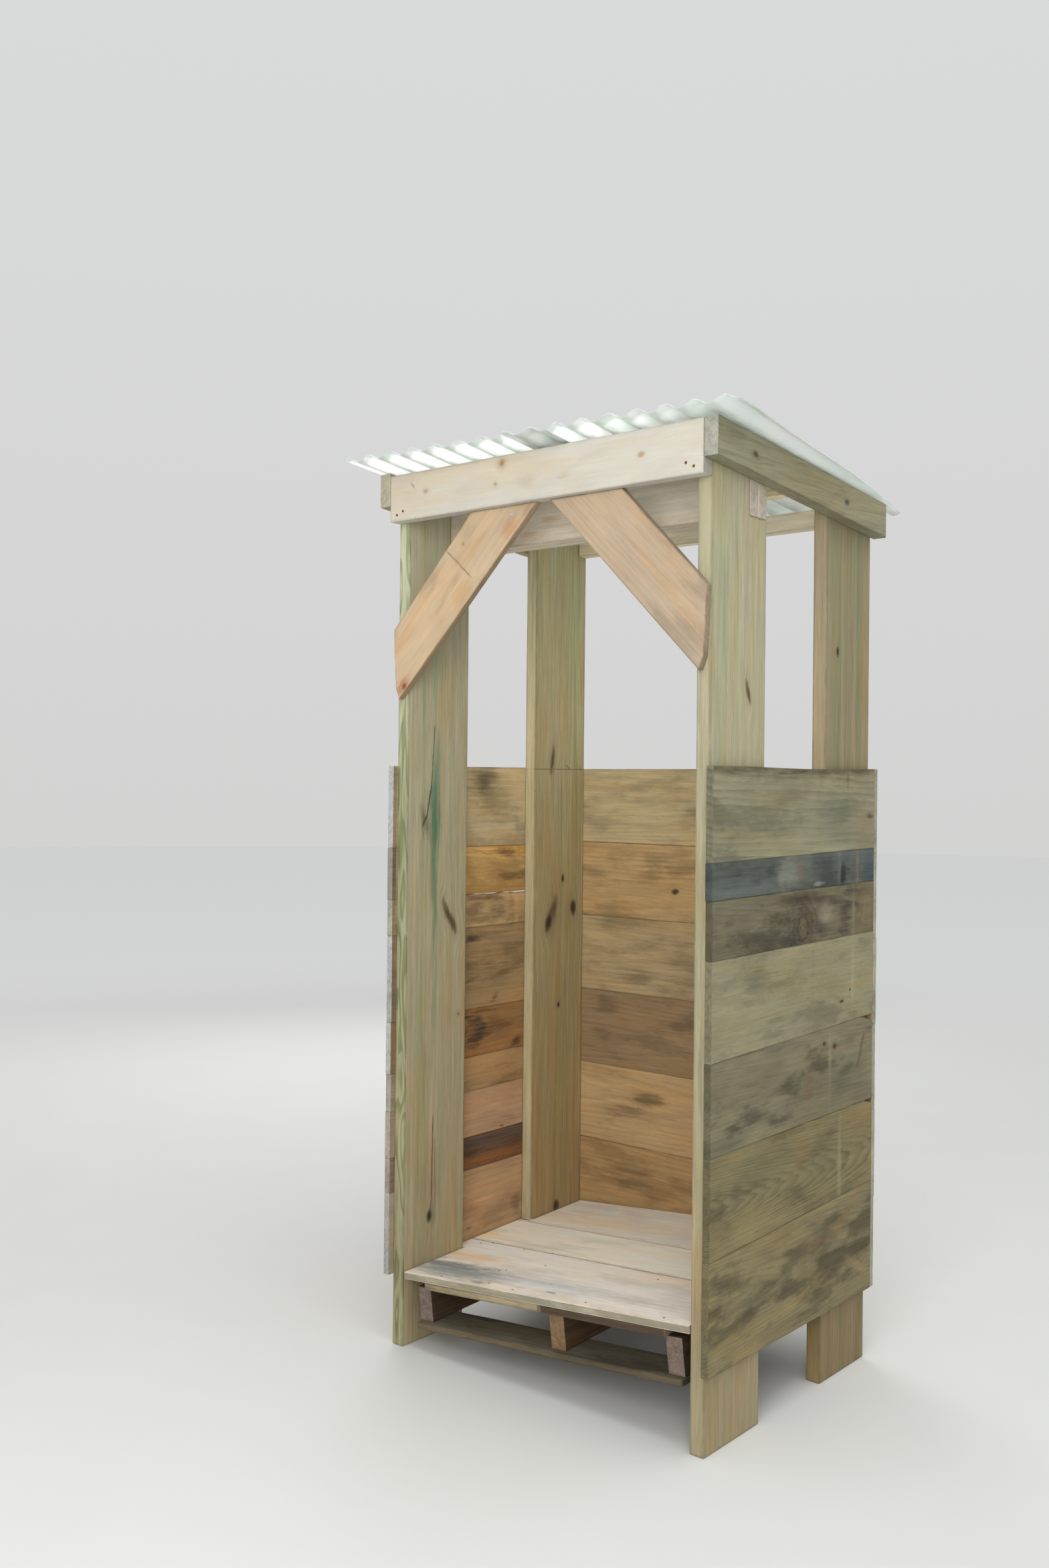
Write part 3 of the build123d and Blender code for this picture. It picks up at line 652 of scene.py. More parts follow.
# ---- posts: planed pine with a green cast, running up and down
front_left_mat = wood("wood_front_left_post", ZL, YL, (146, 137, 108), late=(122, 116, 84), pale=(158, 150, 122), band=((132, 136, 102), 0.4), seed=3,
    pitch=5.0, pith=(330.0, -60.0), lean=0.004, contrast=0.5, sweep=5.0, fibre=0.32, tone=0.14, bump=0.3,
    knots=[(1136.0, 168.0, 54.0, 13.0, -0.52, "spike"), (327.0, 97.0, 20.0, 10.0, 0.0, "black"), (864.0, 207.0, 6.0, 5.0, 0.0, "rust")],
    blobs=[(1405.0, 105.0, 105.0, 24.0, (62, 98, 70), 0.9, -0.03, 0.8, 0.45), (1490.0, 109.0, 100.0, 15.0, (76, 108, 80), 0.75, -0.03, 0.8, 0.4), (1260.0, 103.0, 130.0, 13.0, (72, 104, 76), 0.8, 0.0, 0.8, 0.4),
           # the dark tan blob at (1405, 66) is painted shade where the crack opens wider
           (1110.0, 106.0, 130.0, 10.0, (90, 118, 90), 0.7, 0.04, 0.8, 0.5), (940.0, 111.0, 150.0, 9.0, (98, 120, 90), 0.6, 0.04, 0.8, 0.6), (1405.0, 66.0, 40.0, 13.0, (92, 88, 64), 0.75, -0.3, 0.9, 0.5),
           (1380.0, 84.0, 60.0, 12.0, (112, 116, 88), 0.5, -0.2, 0.9, 0.6),
           (1570.0, 116.0, 90.0, 10.0, (98, 124, 100), 0.65, -0.03, 0.8, 0.5), (1930.0, 105.0, 210.0, 18.0, (124, 146, 112), 0.6, 0.0, 0.9, 0.5),
           (700.0, 60.0, 300.0, 16.0, (128, 130, 92), 0.45, 0.0, 0.9, 0.4), (327.0, 112.0, 22.0, 12.0, (110, 120, 88), 0.6, 0.0, 0.9, 0.6),
           (420.0, 90.0, 120.0, 40.0, (120, 112, 78), 0.4, 0.0, 0.9, 0.6)],
    tracks=[((1660.0, 102.0), (1482.0, 91.0), (64, 62, 46), 0.9, 2.6), ((1492.0, 92.0), (1409.0, 72.0), (60, 58, 42), 0.9, 4.0),
            ((1418.0, 74.0), (1386.0, 56.0), (62, 56, 40), 0.85, 5.0), ((1392.0, 57.0), (1352.0, 65.0), (96, 86, 60), 0.6, 3.0),
            ((342.0, 100.0), (372.0, 106.0), (68, 58, 38), 0.9, 2.8), ((372.0, 106.0), (600.0, 109.0), (84, 60, 34), 0.85, 2.8), ((350.0, 121.0), (540.0, 117.0), (94, 68, 40), 0.6, 2.4), ((322.0, 97.0), (262.0, 92.0), (104, 98, 70), 0.5, 3.0)],
    # the narrow front face darkens below about 1.5 m: partly its own olive tone, partly painted shade
    strip_tone_and_painted_shade=[(0.0, 3.0, 1500.0, 2000.0, (0.72, 0.78, 0.74), (0.98, 1.02, 1.06))],
    flame=(0.0, 3.0, (164, 158, 126), (122, 124, 84), 0.85), painted_light_ramp=POST_PAINTED_LIGHT_RAMP)
front_right_mat = wood("wood_front_right_post", ZL, YL, (146, 139, 110), late=(122, 118, 88), pale=(158, 150, 124), band=((132, 138, 106), 0.4), seed=4,
    pitch=6.5, pith=(-60.0, -975.0), lean=0.0, contrast=0.5, sweep=12.0, fibre=0.32, tone=0.16,
    knots=[(900.0, 80.0, 20.0, 9.0, 0.3, "plain"), (1720.0, 160.0, 34.0, 8.0, -0.35, "spike"), (420.0, 150.0, 12.0, 8.0, 0.0, "dark")],
    blobs=[(1850.0, 60.0, 200.0, 14.0, (116, 134, 104), 0.5, 0.0, 0.8, 0.3)], painted_light_ramp=POST_PAINTED_LIGHT_RAMP)
# back-left post: side lightens its narrow faces and its ramp darkens the foot and lightens the top, both painted
# light
back_left_mat = wood("wood_back_left_post", ZL, YL, (130, 118, 82), late=(104, 94, 62), pale=(142, 132, 96), band=((122, 120, 78), 0.5), seed=5,
    pitch=5.5, pith=(715.0, -80.0), lean=0.004, contrast=0.55, sweep=6.0, fibre=0.36, tone=0.15, side=((144, 136, 104), 0.75),
    knots=[(1578.0, 611.0, 44.0, 11.0, 0.15, "spike"), (1116.0, 613.0, 62.0, 18.0, 0.40, "spike"), (1096.0, 602.0, 26.0, 13.0, 0.3, "dark"), (1131.0, 718.0, 26.0, 15.0, 0.0, "dark"),
           (1220.0, 665.0, 14.0, 7.0, 0.0, "dark"), (841.0, 650.0, 8.0, 6.0, 0.0, "dark"), (236.0, 648.0, 20.0, 15.0, 0.0, "dark")],
    blobs=[(1150.0, 690.0, 120.0, 14.0, (112, 108, 66), 0.45, 0.0, 0.9, 0.5), (1320.0, 655.0, 260.0, 9.0, (112, 104, 66), 0.4, 0.0, 0.8, 0.4)],
    tracks=[((1549.0, 470.0), (1552.0, 765.0), (70, 60, 42), 0.7, 2.2), ((1562.0, 676.0), (1550.0, 700.0), (64, 54, 38), 0.7, 2.2),
            ((1560.0, 742.0), (1540.0, 752.0), (64, 54, 38), 0.7, 2.2)],
    painted_light_ramp=(250.0, 2150.0, (0.88, 0.76, 0.70), (1.12, 1.24, 1.34)))
back_right_mat = wood("wood_back_right_post", ZL, YL, (134, 134, 104), late=(112, 114, 84), pale=(148, 148, 120), band=((110, 128, 100), 0.4), seed=6,
    pitch=6.5, pith=(640.0, -900.0), lean=0.002, contrast=0.28, sweep=9.0, fibre=0.26, tone=0.2,
    knots=[(820.0, 700.0, 16.0, 9.0, 0.3, "plain"), (1850.0, 590.0, 14.0, 8.0, 0.0, "dark")],
    # the first blob lightens the upper part of the narrow front face as painted light
    blobs=[(1930.0, 529.5, 520.0, 3.0, (156, 154, 130), 0.75, 0.0, 0.3, 0.0), (1800.0, 600.0, 400.0, 9.0, (94, 122, 96), 0.6, 0.0, 0.9, 0.3), (1700.0, 700.0, 500.0, 12.0, (104, 126, 100), 0.5, 0.0, 0.9, 0.3)],
    painted_light_ramp=POST_PAINTED_LIGHT_RAMP)

header_mat = wood("wood_header", XL, ZL, (217, 210, 193), late=(204, 193, 170), pale=(224, 218, 204), seed=8,
    pitch=14.0, pith=(2240.0, -150.0), lean=0.05, contrast=0.26, sweep=12.0, fibre=0.07, tone=0.04, mottle=0.07, bump=0.2, edge_dark=0.2,
    knots=[(395.0, 2302.0, 10.0, 11.0, 0.2, "tan"), (131.0, 2265.0, 9.0, 7.0, 0.0, "soft"), (374.0, 2253.0, 7.0, 6.0, 0.0, "soft"), (820.0, 2262.0, 11.0, 9.0, 0.0, "soft")],
    blobs=[(395.0, 2302.0, 22.0, 17.0, (196, 172, 138), 0.7, 0.0, 0.8, 0.6), (470.0, 2244.0, 34.0, 16.0, (200, 186, 160), 0.6, 0.0, 0.9, 0.8),
           (592.0, 2244.0, 16.0, 10.0, (198, 184, 158), 0.5, 0.0, 0.9, 0.7), (131.0, 2265.0, 12.0, 9.0, (194, 172, 138), 0.6, 0.0, 0.8, 0.7),
           (300.0, 2290.0, 90.0, 10.0, (224, 214, 190), 0.4, 0.0, 0.9, 0.8)],
    tracks=[((80.0, 2291.0), (90.0, 2278.0), (128, 92, 96), 0.85, 2.6), ((120.0, 2318.0), (330.0, 2316.0), (196, 180, 152), 0.4, 3.0)])
beam_left_mat = wood("wood_left_side_beam", YL, ZL, (158, 150, 118), late=(132, 122, 90), pale=(170, 163, 134), seed=9, end=(190, 181, 158),
    pitch=6.5, pith=(2250.0, -70.0), lean=0.03, contrast=0.38, fibre=0.3, tone=0.15, mottle=0.15,
    knots=[(520.0, 2240.0, 14.0, 9.0, 0.0, "plain")])
beam_right_mat = wood("wood_right_side_beam", YL, ZL, (136, 136, 110), late=(112, 108, 80), pale=(148, 150, 126), seed=19, end=(170, 170, 156),
    pitch=6.5, pith=(2250.0, 940.0), lean=0.03, contrast=0.38, fibre=0.3, tone=0.2, mottle=0.2,
    knots=[(120.0, 2262.0, 12.0, 8.0, 0.0, "plain"), (560.0, 2222.0, 12.0, 8.0, 0.0, "plain")])
brace_l_axis = Vector((473.0, 0.0, 470.0)).normalized()
brace_l_across = Vector((-470.0, 0.0, 473.0)).normalized()
bl = lambda x, z: (Vector((x, 0, z)).dot(brace_l_axis), Vector((x, 0, z)).dot(brace_l_across))
brace_left_mat = wood("wood_left_brace", tuple(brace_l_axis), tuple(brace_l_across), (196, 178, 158), late=(182, 154, 124), pale=(202, 188, 172), seed=10,
    pitch=13.0, pith=(bl(60.0, 1990.0)[1], -70.0), lean=0.04, contrast=0.22, sweep=16.0, fibre=0.14, tone=0.2, mottle=0.22, side=((118, 78, 50), 0.9), edge_dark=0.5,
    knots=[(*bl(249.0, 2118.0), 6.0, 4.0, 0.0, "soft"), (*bl(40.0, 1762.0), 10.0, 8.0, 0.0, "rust")],
    blobs=[(*bl(408.0, 2144.0), 30.0, 24.0, (196, 146, 112), 0.6, 0.0, 0.9, 0.8), (*bl(290.0, 2110.0), 60.0, 18.0, (190, 162, 126), 0.5, 0.0, 0.9, 0.8),
           (*bl(245.0, 1990.0), 46.0, 26.0, (198, 164, 126), 0.6, 0.0, 0.9, 0.8), (*bl(120.0, 1950.0), 70.0, 20.0, (192, 182, 166), 0.5, 0.0, 0.9, 0.8),
           (*bl(330.0, 2060.0), 30.0, 16.0, (200, 190, 186), 0.5, 0.0, 0.9, 0.8), (*bl(470.0, 2180.0), 30.0, 20.0, (156, 134, 120), 0.5, 0.0, 0.9, 0.8),
           (*bl(36.0, 1764.0), 30.0, 20.0, (160, 104, 78), 0.6, 0.0, 0.9, 0.8)],
    tracks=[(bl(192.0, 2105.0), bl(278.0, 2031.0), (144, 124, 112), 0.75, 3.4)])
brace_r_axis = Vector((-435.0, 0.0, 435.0)).normalized()
brace_r_across = Vector((435.0, 0.0, 435.0)).normalized()
brace_right_mat = wood("wood_right_brace", tuple(brace_r_axis), tuple(brace_r_across), (188, 178, 166), late=(170, 150, 132), pale=(196, 188, 180), seed=11,
    pitch=11.0, pith=((W - 60.0) * 0.7071 + 2000.0 * 0.7071, 60.0), lean=0.04, contrast=0.25, fibre=0.16, tone=0.2, mottle=0.2, side=((118, 80, 54), 0.85), edge_dark=0.5)
cross_mat = wood("wood_crossbeam", XL, ZL, (170, 167, 162), late=(152, 146, 140), pale=(178, 178, 176), seed=12,
    pitch=9.0, pith=(2180.0, -290.0), lean=0.03, contrast=0.22, fibre=0.2, tone=0.15, mottle=0.25, weather=0.15,
    blobs=[(389.0, 2194.0, 36.0, 9.0, (160, 138, 118), 0.7, 0.0, 0.9, 0.9), (317.0, 2162.0, 30.0, 9.0, (156, 132, 118), 0.6, 0.0, 0.9, 0.9),
           (430.0, 2172.0, 90.0, 6.0, (158, 148, 138), 0.5, 0.0, 0.9, 0.8)])
purlin_mat = wood("wood_purlin", XL, ZL, (176, 162, 128), seed=13, pitch=7.0, pith=(2240.0, -440.0), lean=0.03, contrast=0.4)
pink_mat = wood("wood_back_header", XL, ZL, (174, 162, 138), late=(158, 138, 112), pale=(182, 172, 152), seed=14, pitch=8.0,
    pith=(2200.0, -830.0), lean=0.04, contrast=0.35, fibre=0.3)

# ---- left wall, top to bottom: inner faces seen from the open front
LG = dict(sawn=0.5, bump=0.4, edge_dark=0.35, front_strip_painted_shade=((92, 82, 66), 0.85))
left_mats = [
    wood("wood_left_1", YL, ZL, end=(186, 184, 182), base=(148, 131, 99), late=(132, 112, 80), pale=(156, 141, 112), seed=21, pitch=13.0, pith=(1440.0, -75.0), lean=0.03,
         contrast=0.4, tone=0.15, fibre=0.24, mottle=0.3, dashes=0.2, **LG,
         blobs=[(352.0, 1508.0, 62.0, 56.0, (78, 68, 48), 0.95, 0.5, 0.95, 0.6), (400.0, 1462.0, 84.0, 50.0, (112, 98, 72), 0.7, 0.5, 0.95, 0.7), (440.0, 1400.0, 60.0, 22.0, (122, 108, 82), 0.5, 0.2, 0.9, 0.9),
                (500.0, 1376.0, 16.0, 40.0, (112, 110, 96), 0.6, 0.4, 0.9, 1.0), (430.0, 1345.0, 60.0, 10.0, (120, 106, 80), 0.5, 0.1, 0.9, 1.2)],
         ),
    wood("wood_left_2", YL, ZL, end=(150, 147, 134), base=(148, 116, 72), late=(124, 92, 52), pale=(158, 130, 88), seed=22, pitch=8.0, pith=(1225.0, -60.0), lean=0.05,
         contrast=0.5, tone=0.2, fibre=0.26, mottle=0.35, dashes=0.3, **dict(LG, front_strip_painted_shade=((60, 58, 56), 0.95)),
         blobs=[(412.0, 1312.0, 60.0, 8.0, (92, 68, 44), 0.6, 0.05, 0.9, 2.0), (452.0, 1300.0, 26.0, 12.0, (84, 62, 40), 0.7, 0.0, 0.9, 1.9),
                (473.0, 1236.0, 60.0, 12.0, (84, 64, 42), 0.7, 0.1, 0.8, 2.0), (340.0, 1262.0, 46.0, 40.0, (142, 116, 76), 0.5, 0.0, 0.8, 1.0)],
         tracks=[((1205.0, 378.0), (1325.0, 378.0), (168, 140, 98), 0.4, 3.0), ((300.0, 1318.0), (380.0, 1300.0), (86, 64, 42), 0.6, 1.8), ((440.0, 1232.0), (520.0, 1226.0), (76, 56, 38), 0.7, 1.8)]),
    wood("wood_left_3", YL, ZL, end=(170, 164, 154), base=(138, 114, 84), late=(110, 88, 62), pale=(148, 126, 96), seed=23, pitch=9.0, pith=(1140.0, -90.0), lean=0.03,
         contrast=0.45, tone=0.35, fibre=0.26, mottle=0.5, **LG,
         # the thin dark strip at (365, 1176), just under board 2, is a painted shadow cast by board 2
         blobs=[(365.0, 1176.0, 90.0, 8.0, (82, 62, 44), 0.75, -0.05, 0.9, 1.4), (340.0, 1118.0, 90.0, 12.0, (104, 88, 66), 0.6, 0.0, 0.9, 1.2), (472.0, 1156.0, 10.0, 26.0, (120, 84, 54), 0.55, 0.2, 0.8, 1.0),
                (497.0, 1137.0, 12.0, 60.0, (160, 124, 84), 0.6, 0.0, 0.5, 0.4)]),
    wood("wood_left_4", YL, ZL, end=(172, 170, 164), base=(128, 107, 77), late=(106, 86, 60), pale=(138, 118, 90), seed=24, pitch=12.0, pith=(960.0, -80.0), lean=0.05,
         contrast=0.35, tone=0.3, fibre=0.24, mottle=0.35, **LG, knots=[(630.0, 1010.0, 14.0, 9.0, 0.0, "dark")],
         blobs=[(300.0, 1062.0, 46.0, 14.0, (58, 48, 38), 0.9, 0.05, 0.95, 1.0), (370.0, 1072.0, 90.0, 14.0, (92, 78, 58), 0.55, 0.0, 0.95, 1.2),
                (428.0, 952.0, 70.0, 12.0, (96, 76, 46), 0.7, 0.15, 0.9, 1.0), (300.0, 946.0, 40.0, 6.0, (92, 74, 52), 0.6, 0.2, 0.9, 1.0),
                (404.0, 886.0, 18.0, 9.0, (78, 64, 54), 0.7, 0.6, 0.8, 1.2)],
         tracks=[((290.0, 1010.0), (480.0, 1004.0), (108, 88, 62), 0.6, 2.0), ((300.0, 985.0), (440.0, 975.0), (146, 128, 100), 0.4, 2.0)]),
    wood("wood_left_5", YL, ZL, end=(176, 174, 170), base=(124, 90, 56), late=(98, 68, 40), pale=(136, 104, 68), seed=25, pitch=9.0, pith=(800.0, -70.0), lean=0.04,
         contrast=0.4, tone=0.35, fibre=0.28, mottle=0.45, **LG,
         blobs=[(318.0, 826.0, 46.0, 20.0, (60, 52, 42), 0.85, -0.3, 0.9, 1.8), (330.0, 776.0, 40.0, 24.0, (54, 46, 38), 0.85, 0.4, 0.9, 1.9),
                (500.0, 748.0, 26.0, 12.0, (66, 48, 36), 0.85, 0.3, 0.8, 1.2), (420.0, 770.0, 50.0, 10.0, (98, 74, 50), 0.6, 0.0, 0.9, 1.2),
                (650.0, 790.0, 70.0, 26.0, (80, 62, 46), 0.6, 0.0, 0.9, 1.6), (430.0, 830.0, 50.0, 20.0, (140, 102, 62), 0.5, 0.0, 0.9, 0.8)]),
    wood("wood_left_6", YL, ZL, end=(170, 164, 157), base=(136, 107, 74), late=(122, 92, 60), pale=(144, 118, 86), seed=26, pitch=11.0, pith=(680.0, -90.0), lean=0.03, contrast=0.35, tone=0.3, fibre=0.25, mottle=0.4, **dict(LG, front_strip_painted_shade=((112, 104, 94), 0.85))),
    wood("wood_left_7", YL, ZL, end=(174, 163, 150), base=(146, 116, 90), late=(132, 100, 74), pale=(152, 124, 100), seed=27, pitch=13.0, pith=(560.0, -90.0), lean=0.03, contrast=0.35, tone=0.25, fibre=0.24, mottle=0.3, **dict(LG, front_strip_painted_shade=((118, 106, 94), 0.9)),
         blobs=[(439.0, 506.0, 12.0, 3.5, (76, 60, 46), 0.8, 0.0, 0.6, 0.8)]),
    wood("wood_left_8", YL, ZL, end=(160, 149, 141), base=(86, 67, 56), late=(62, 50, 43), pale=(94, 75, 62), seed=28, pitch=6.0, pith=(450.0, -70.0), lean=0.03, contrast=0.5, tone=0.25, fibre=0.5, mottle=0.35, **dict(LG, front_strip_painted_shade=((104, 96, 88), 0.9)),
         blobs=[(380.0, 424.0, 900.0, 18.0, (110, 74, 44), 0.8, 0.0, 0.9, 0.9), (420.0, 482.0, 900.0, 12.0, (68, 62, 64), 0.6, 0.0, 0.9, 0.9)]),
    wood("wood_left_9", YL, ZL, end=(170, 165, 160), base=(146, 116, 86), late=(130, 100, 72), pale=(152, 124, 96), seed=29, pitch=12.0, pith=(300.0, -80.0), lean=0.04, contrast=0.4, tone=0.25, fibre=0.26, mottle=0.25, **dict(LG, front_strip_painted_shade=((122, 115, 106), 0.9)),
         blobs=[(508.0, 262.0, 22.0, 28.0, (98, 74, 60), 0.75, 0.0, 0.9, 1.1), (299.0, 240.0, 14.0, 7.0, (100, 80, 60), 0.7, 0.0, 0.8, 1.0), (360.0, 216.0, 60.0, 12.0, (130, 108, 78), 0.5, 0.0, 0.9, 1.0)]),
]

# ---- right wall: outer faces, more weathered, their darker and greener colours partly painted shade
RG = dict(sawn=0.3, bump=0.35, edge_dark=0.28)
right_mats = [
    wood("wood_right_1", YL, ZL, (118, 124, 104), late=(90, 94, 72), pale=(126, 132, 112), seed=31, pitch=16.0, pith=(1250.0, 960.0), lean=0.06,
         contrast=0.7, tone=0.28, fibre=0.18, mottle=0.36, dashes=0.15, sweep=30.0, **RG,
         blobs=[(300.0, 1560.0, 460.0, 36.0, (64, 60, 42), 0.95, 0.0, 0.95, 0.6), (640.0, 1560.0, 160.0, 24.0, (74, 68, 50), 0.85, 0.0, 0.9, 0.8), (616.0, 1528.0, 8.0, 36.0, (86, 80, 62), 0.6, 0.0, 0.9, 0.7),
                (540.0, 1422.0, 110.0, 60.0, (98, 106, 94), 0.55, 0.0, 0.95, 0.8), (700.0, 1400.0, 56.0, 80.0, (120, 117, 96), 0.6, 0.0, 0.9, 0.8), (739.0, 1431.0, 20.0, 9.0, (70, 66, 58), 0.85, 0.0, 0.9, 0.9),
                (330.0, 1380.0, 150.0, 36.0, (132, 138, 114), 0.5, 0.0, 0.95, 0.8), (330.0, 1480.0, 150.0, 22.0, (104, 98, 74), 0.45, 0.12, 0.95, 1.0)]),
    wood("wood_right_2", YL, ZL, (78, 88, 84), late=(58, 66, 64), pale=(90, 100, 94), seed=32, pitch=7.0, pith=(1290.0, 950.0), lean=0.03,
         contrast=0.3, tone=0.6, fibre=0.25, mottle=0.6, weather=0.3, **RG,
         blobs=[(316.0, 1305.0, 50.0, 52.0, (116, 122, 110), 0.8, 0.0, 0.9, 0.8), (378.0, 1312.0, 20.0, 32.0, (104, 94, 76), 0.7, 0.2, 0.9, 0.8), (420.0, 1300.0, 26.0, 50.0, (92, 100, 96), 0.6, 0.1, 0.9, 0.8),
                (500.0, 1297.0, 56.0, 56.0, (54, 62, 64), 0.8, 0.2, 0.9, 0.9), (576.0, 1307.0, 12.0, 50.0, (102, 112, 108), 0.7, 0.0, 0.9, 0.6), (594.0, 1284.0, 15.0, 34.0, (36, 40, 38), 0.9, 0.0, 0.7, 0.5),
                (671.0, 1304.0, 9.0, 60.0, (116, 110, 88), 0.8, 0.0, 0.8, 0.5), (735.0, 1301.0, 38.0, 60.0, (58, 72, 78), 0.8, 0.0, 0.9, 0.7), (464.0, 1265.0, 24.0, 7.0, (150, 154, 146), 0.75, 0.0, 0.6, 1.1)]),
    wood("wood_right_3", YL, ZL, (96, 98, 78), late=(70, 72, 58), pale=(108, 112, 92), seed=33, pitch=7.0, pith=(1190.0, 950.0), lean=0.05,
         contrast=0.5, tone=0.45, fibre=0.2, mottle=0.6, weather=0.2, **RG,
         whorls=[(391.0, 1163.0, 60.0, 62.0, 3.4)],
         blobs=[(391.0, 1165.0, 84.0, 70.0, (62, 60, 47), 0.75, 0.0, 0.9, 0.6), (391.0, 1161.0, 18.0, 24.0, (104, 101, 80), 0.75, 0.0, 0.9, 0.5), (350.0, 1234.0, 100.0, 15.0, (64, 62, 48), 0.7, 0.0, 0.9, 0.8),
                (500.0, 1224.0, 90.0, 16.0, (62, 60, 50), 0.8, -0.1, 0.9, 1.0), (604.0, 1184.0, 30.0, 42.0, (58, 56, 48), 0.8, 0.3, 0.9, 1.2), (508.0, 1193.0, 36.0, 32.0, (130, 130, 114), 0.8, 0.0, 0.9, 0.8),
                (483.0, 1147.0, 26.0, 14.0, (54, 52, 48), 0.75, 0.0, 0.9, 1.0), (652.0, 1175.0, 9.0, 80.0, (122, 124, 104), 0.6, 0.0, 0.9, 0.4), (712.0, 1180.0, 50.0, 70.0, (114, 108, 82), 0.7, 0.0, 0.9, 0.8)],
         tracks=[((690.0, 1150.0), (705.0, 1215.0), (82, 82, 62), 0.6, 3.0), ((720.0, 1150.0), (730.0, 1215.0), (82, 82, 62), 0.5, 3.0)]),
    wood("wood_right_4", YL, ZL, (126, 129, 103), late=(114, 114, 88), pale=(132, 137, 112), seed=34, pitch=14.0, pith=(1000.0, 900.0), lean=0.05,
         contrast=0.35, tone=0.25, fibre=0.17, mottle=0.3, dashes=0.5, **RG,
         knots=[(593.0, 960.0, 12.0, 5.0, 0.0, "dark")],
         blobs=[(650.0, 1030.0, 9.0, 90.0, (142, 148, 128), 0.5, 0.0, 0.9, 0.4), (593.0, 965.0, 34.0, 8.0, (102, 96, 72), 0.6, 0.0, 0.8, 1.0),
                (440.0, 1000.0, 12.0, 120.0, (120, 122, 96), 0.4, 0.0, 0.5, 0.4), (520.0, 1010.0, 90.0, 20.0, (116, 116, 90), 0.4, 0.0, 0.9, 1.0)]),
    wood("wood_right_5", YL, ZL, (102, 106, 86), late=(84, 86, 66), pale=(112, 117, 98), seed=35, pitch=8.0, pith=(800.0, 950.0), lean=0.04,
         contrast=0.4, tone=0.5, fibre=0.22, mottle=0.55, **RG,
         knots=[(504.0, 863.0, 12.0, 7.0, 0.0, "dark"), (557.0, 850.0, 8.0, 8.0, 0.0, "dark")],
         blobs=[(425.0, 772.0, 26.0, 44.0, (108, 98, 74), 0.65, 0.0, 0.9, 0.9), (533.0, 800.0, 9.0, 100.0, (126, 132, 116), 0.5, 0.0, 0.9, 0.4),
                (640.0, 865.0, 60.0, 20.0, (92, 92, 74), 0.5, 0.0, 0.9, 1.0), (600.0, 760.0, 60.0, 30.0, (96, 104, 84), 0.5, 0.0, 0.9, 1.0)],
         tracks=[((715.0, 862.0), (680.0, 780.0), (78, 72, 60), 0.6, 9.0)]),
    wood("wood_right_6", YL, ZL, (106, 106, 80), late=(82, 80, 56), pale=(116, 117, 92), seed=36, pitch=5.5, pith=(560.0, 975.0), lean=0.085,
         contrast=0.95, tone=0.4, fibre=0.2, mottle=0.35, **RG,
         blobs=[(588.0, 560.0, 11.0, 110.0, (126, 134, 116), 0.6, 0.0, 0.9, 0.5), (715.0, 650.0, 90.0, 40.0, (128, 118, 82), 0.6, 0.0, 0.95, 0.9), (500.0, 560.0, 60.0, 80.0, (92, 98, 78), 0.5, 0.0, 0.95, 0.9), (400.0, 620.0, 70.0, 40.0, (120, 110, 80), 0.5, 0.0, 0.95, 0.9)]),
    wood("wood_right_7", YL, ZL, (96, 96, 74), late=(72, 72, 52), pale=(106, 106, 86), seed=37, pitch=8.0, pith=(330.0, 950.0), lean=0.07,
         contrast=0.5, tone=0.5, fibre=0.22, mottle=0.55, **RG,
         blobs=[(600.0, 400.0, 130.0, 18.0, (100, 88, 64), 0.65, 0.5, 0.9, 1.0), (470.0, 380.0, 90.0, 30.0, (112, 102, 76), 0.55, 0.3, 0.9, 1.0), (500.0, 400.0, 110.0, 12.0, (80, 88, 70), 0.65, -0.45, 0.8, 1.0), (700.0, 260.0, 70.0, 16.0, (116, 110, 84), 0.6, -0.5, 0.8, 1.0)]),
]
back_tones = [((146, 130, 100), 0.15), ((142, 117, 82), 0.05), ((134, 116, 88), 0.1), ((112, 92, 68), 0.1), ((142, 118, 86), 0.05), ((132, 106, 72), 0.05)]
back_mats = [
    wood("wood_back_%d" % (i + 1), XL, ZL, c, seed=41 + i, pitch=9.0 + i % 3, pith=((BACK_J[i] + BACK_J[i + 1]) / 2 + (-1) ** i * 30.0, -850.0), lean=0.03 + 0.01 * (i % 3),
         contrast=0.45, tone=0.3, fibre=0.26, mottle=0.3, dashes=0.3, sawn=0.5, bump=0.4, edge_dark=0.4, weather=wt, end=(166, 164, 144),
         knots=[(260.0 + 120.0 * i, (BACK_J[i] + BACK_J[i + 1]) / 2 + 24.0 * (-1) ** i, 14.0, 9.0, 0.2, "dark")] if i in (1, 4) else [],
         blobs=[(rb.uniform(100, 900), rb.uniform(BACK_J[i + 1] + 40, BACK_J[i] - 40), rb.uniform(40, 90), rb.uniform(12, 30), tuple(x * 0.68 for x in c), 0.6, 0.1, 0.9, 1.2) for _ in range(3)])
    for i, (c, wt) in enumerate(back_tones) for rb in (random.Random(300 + i),)
]

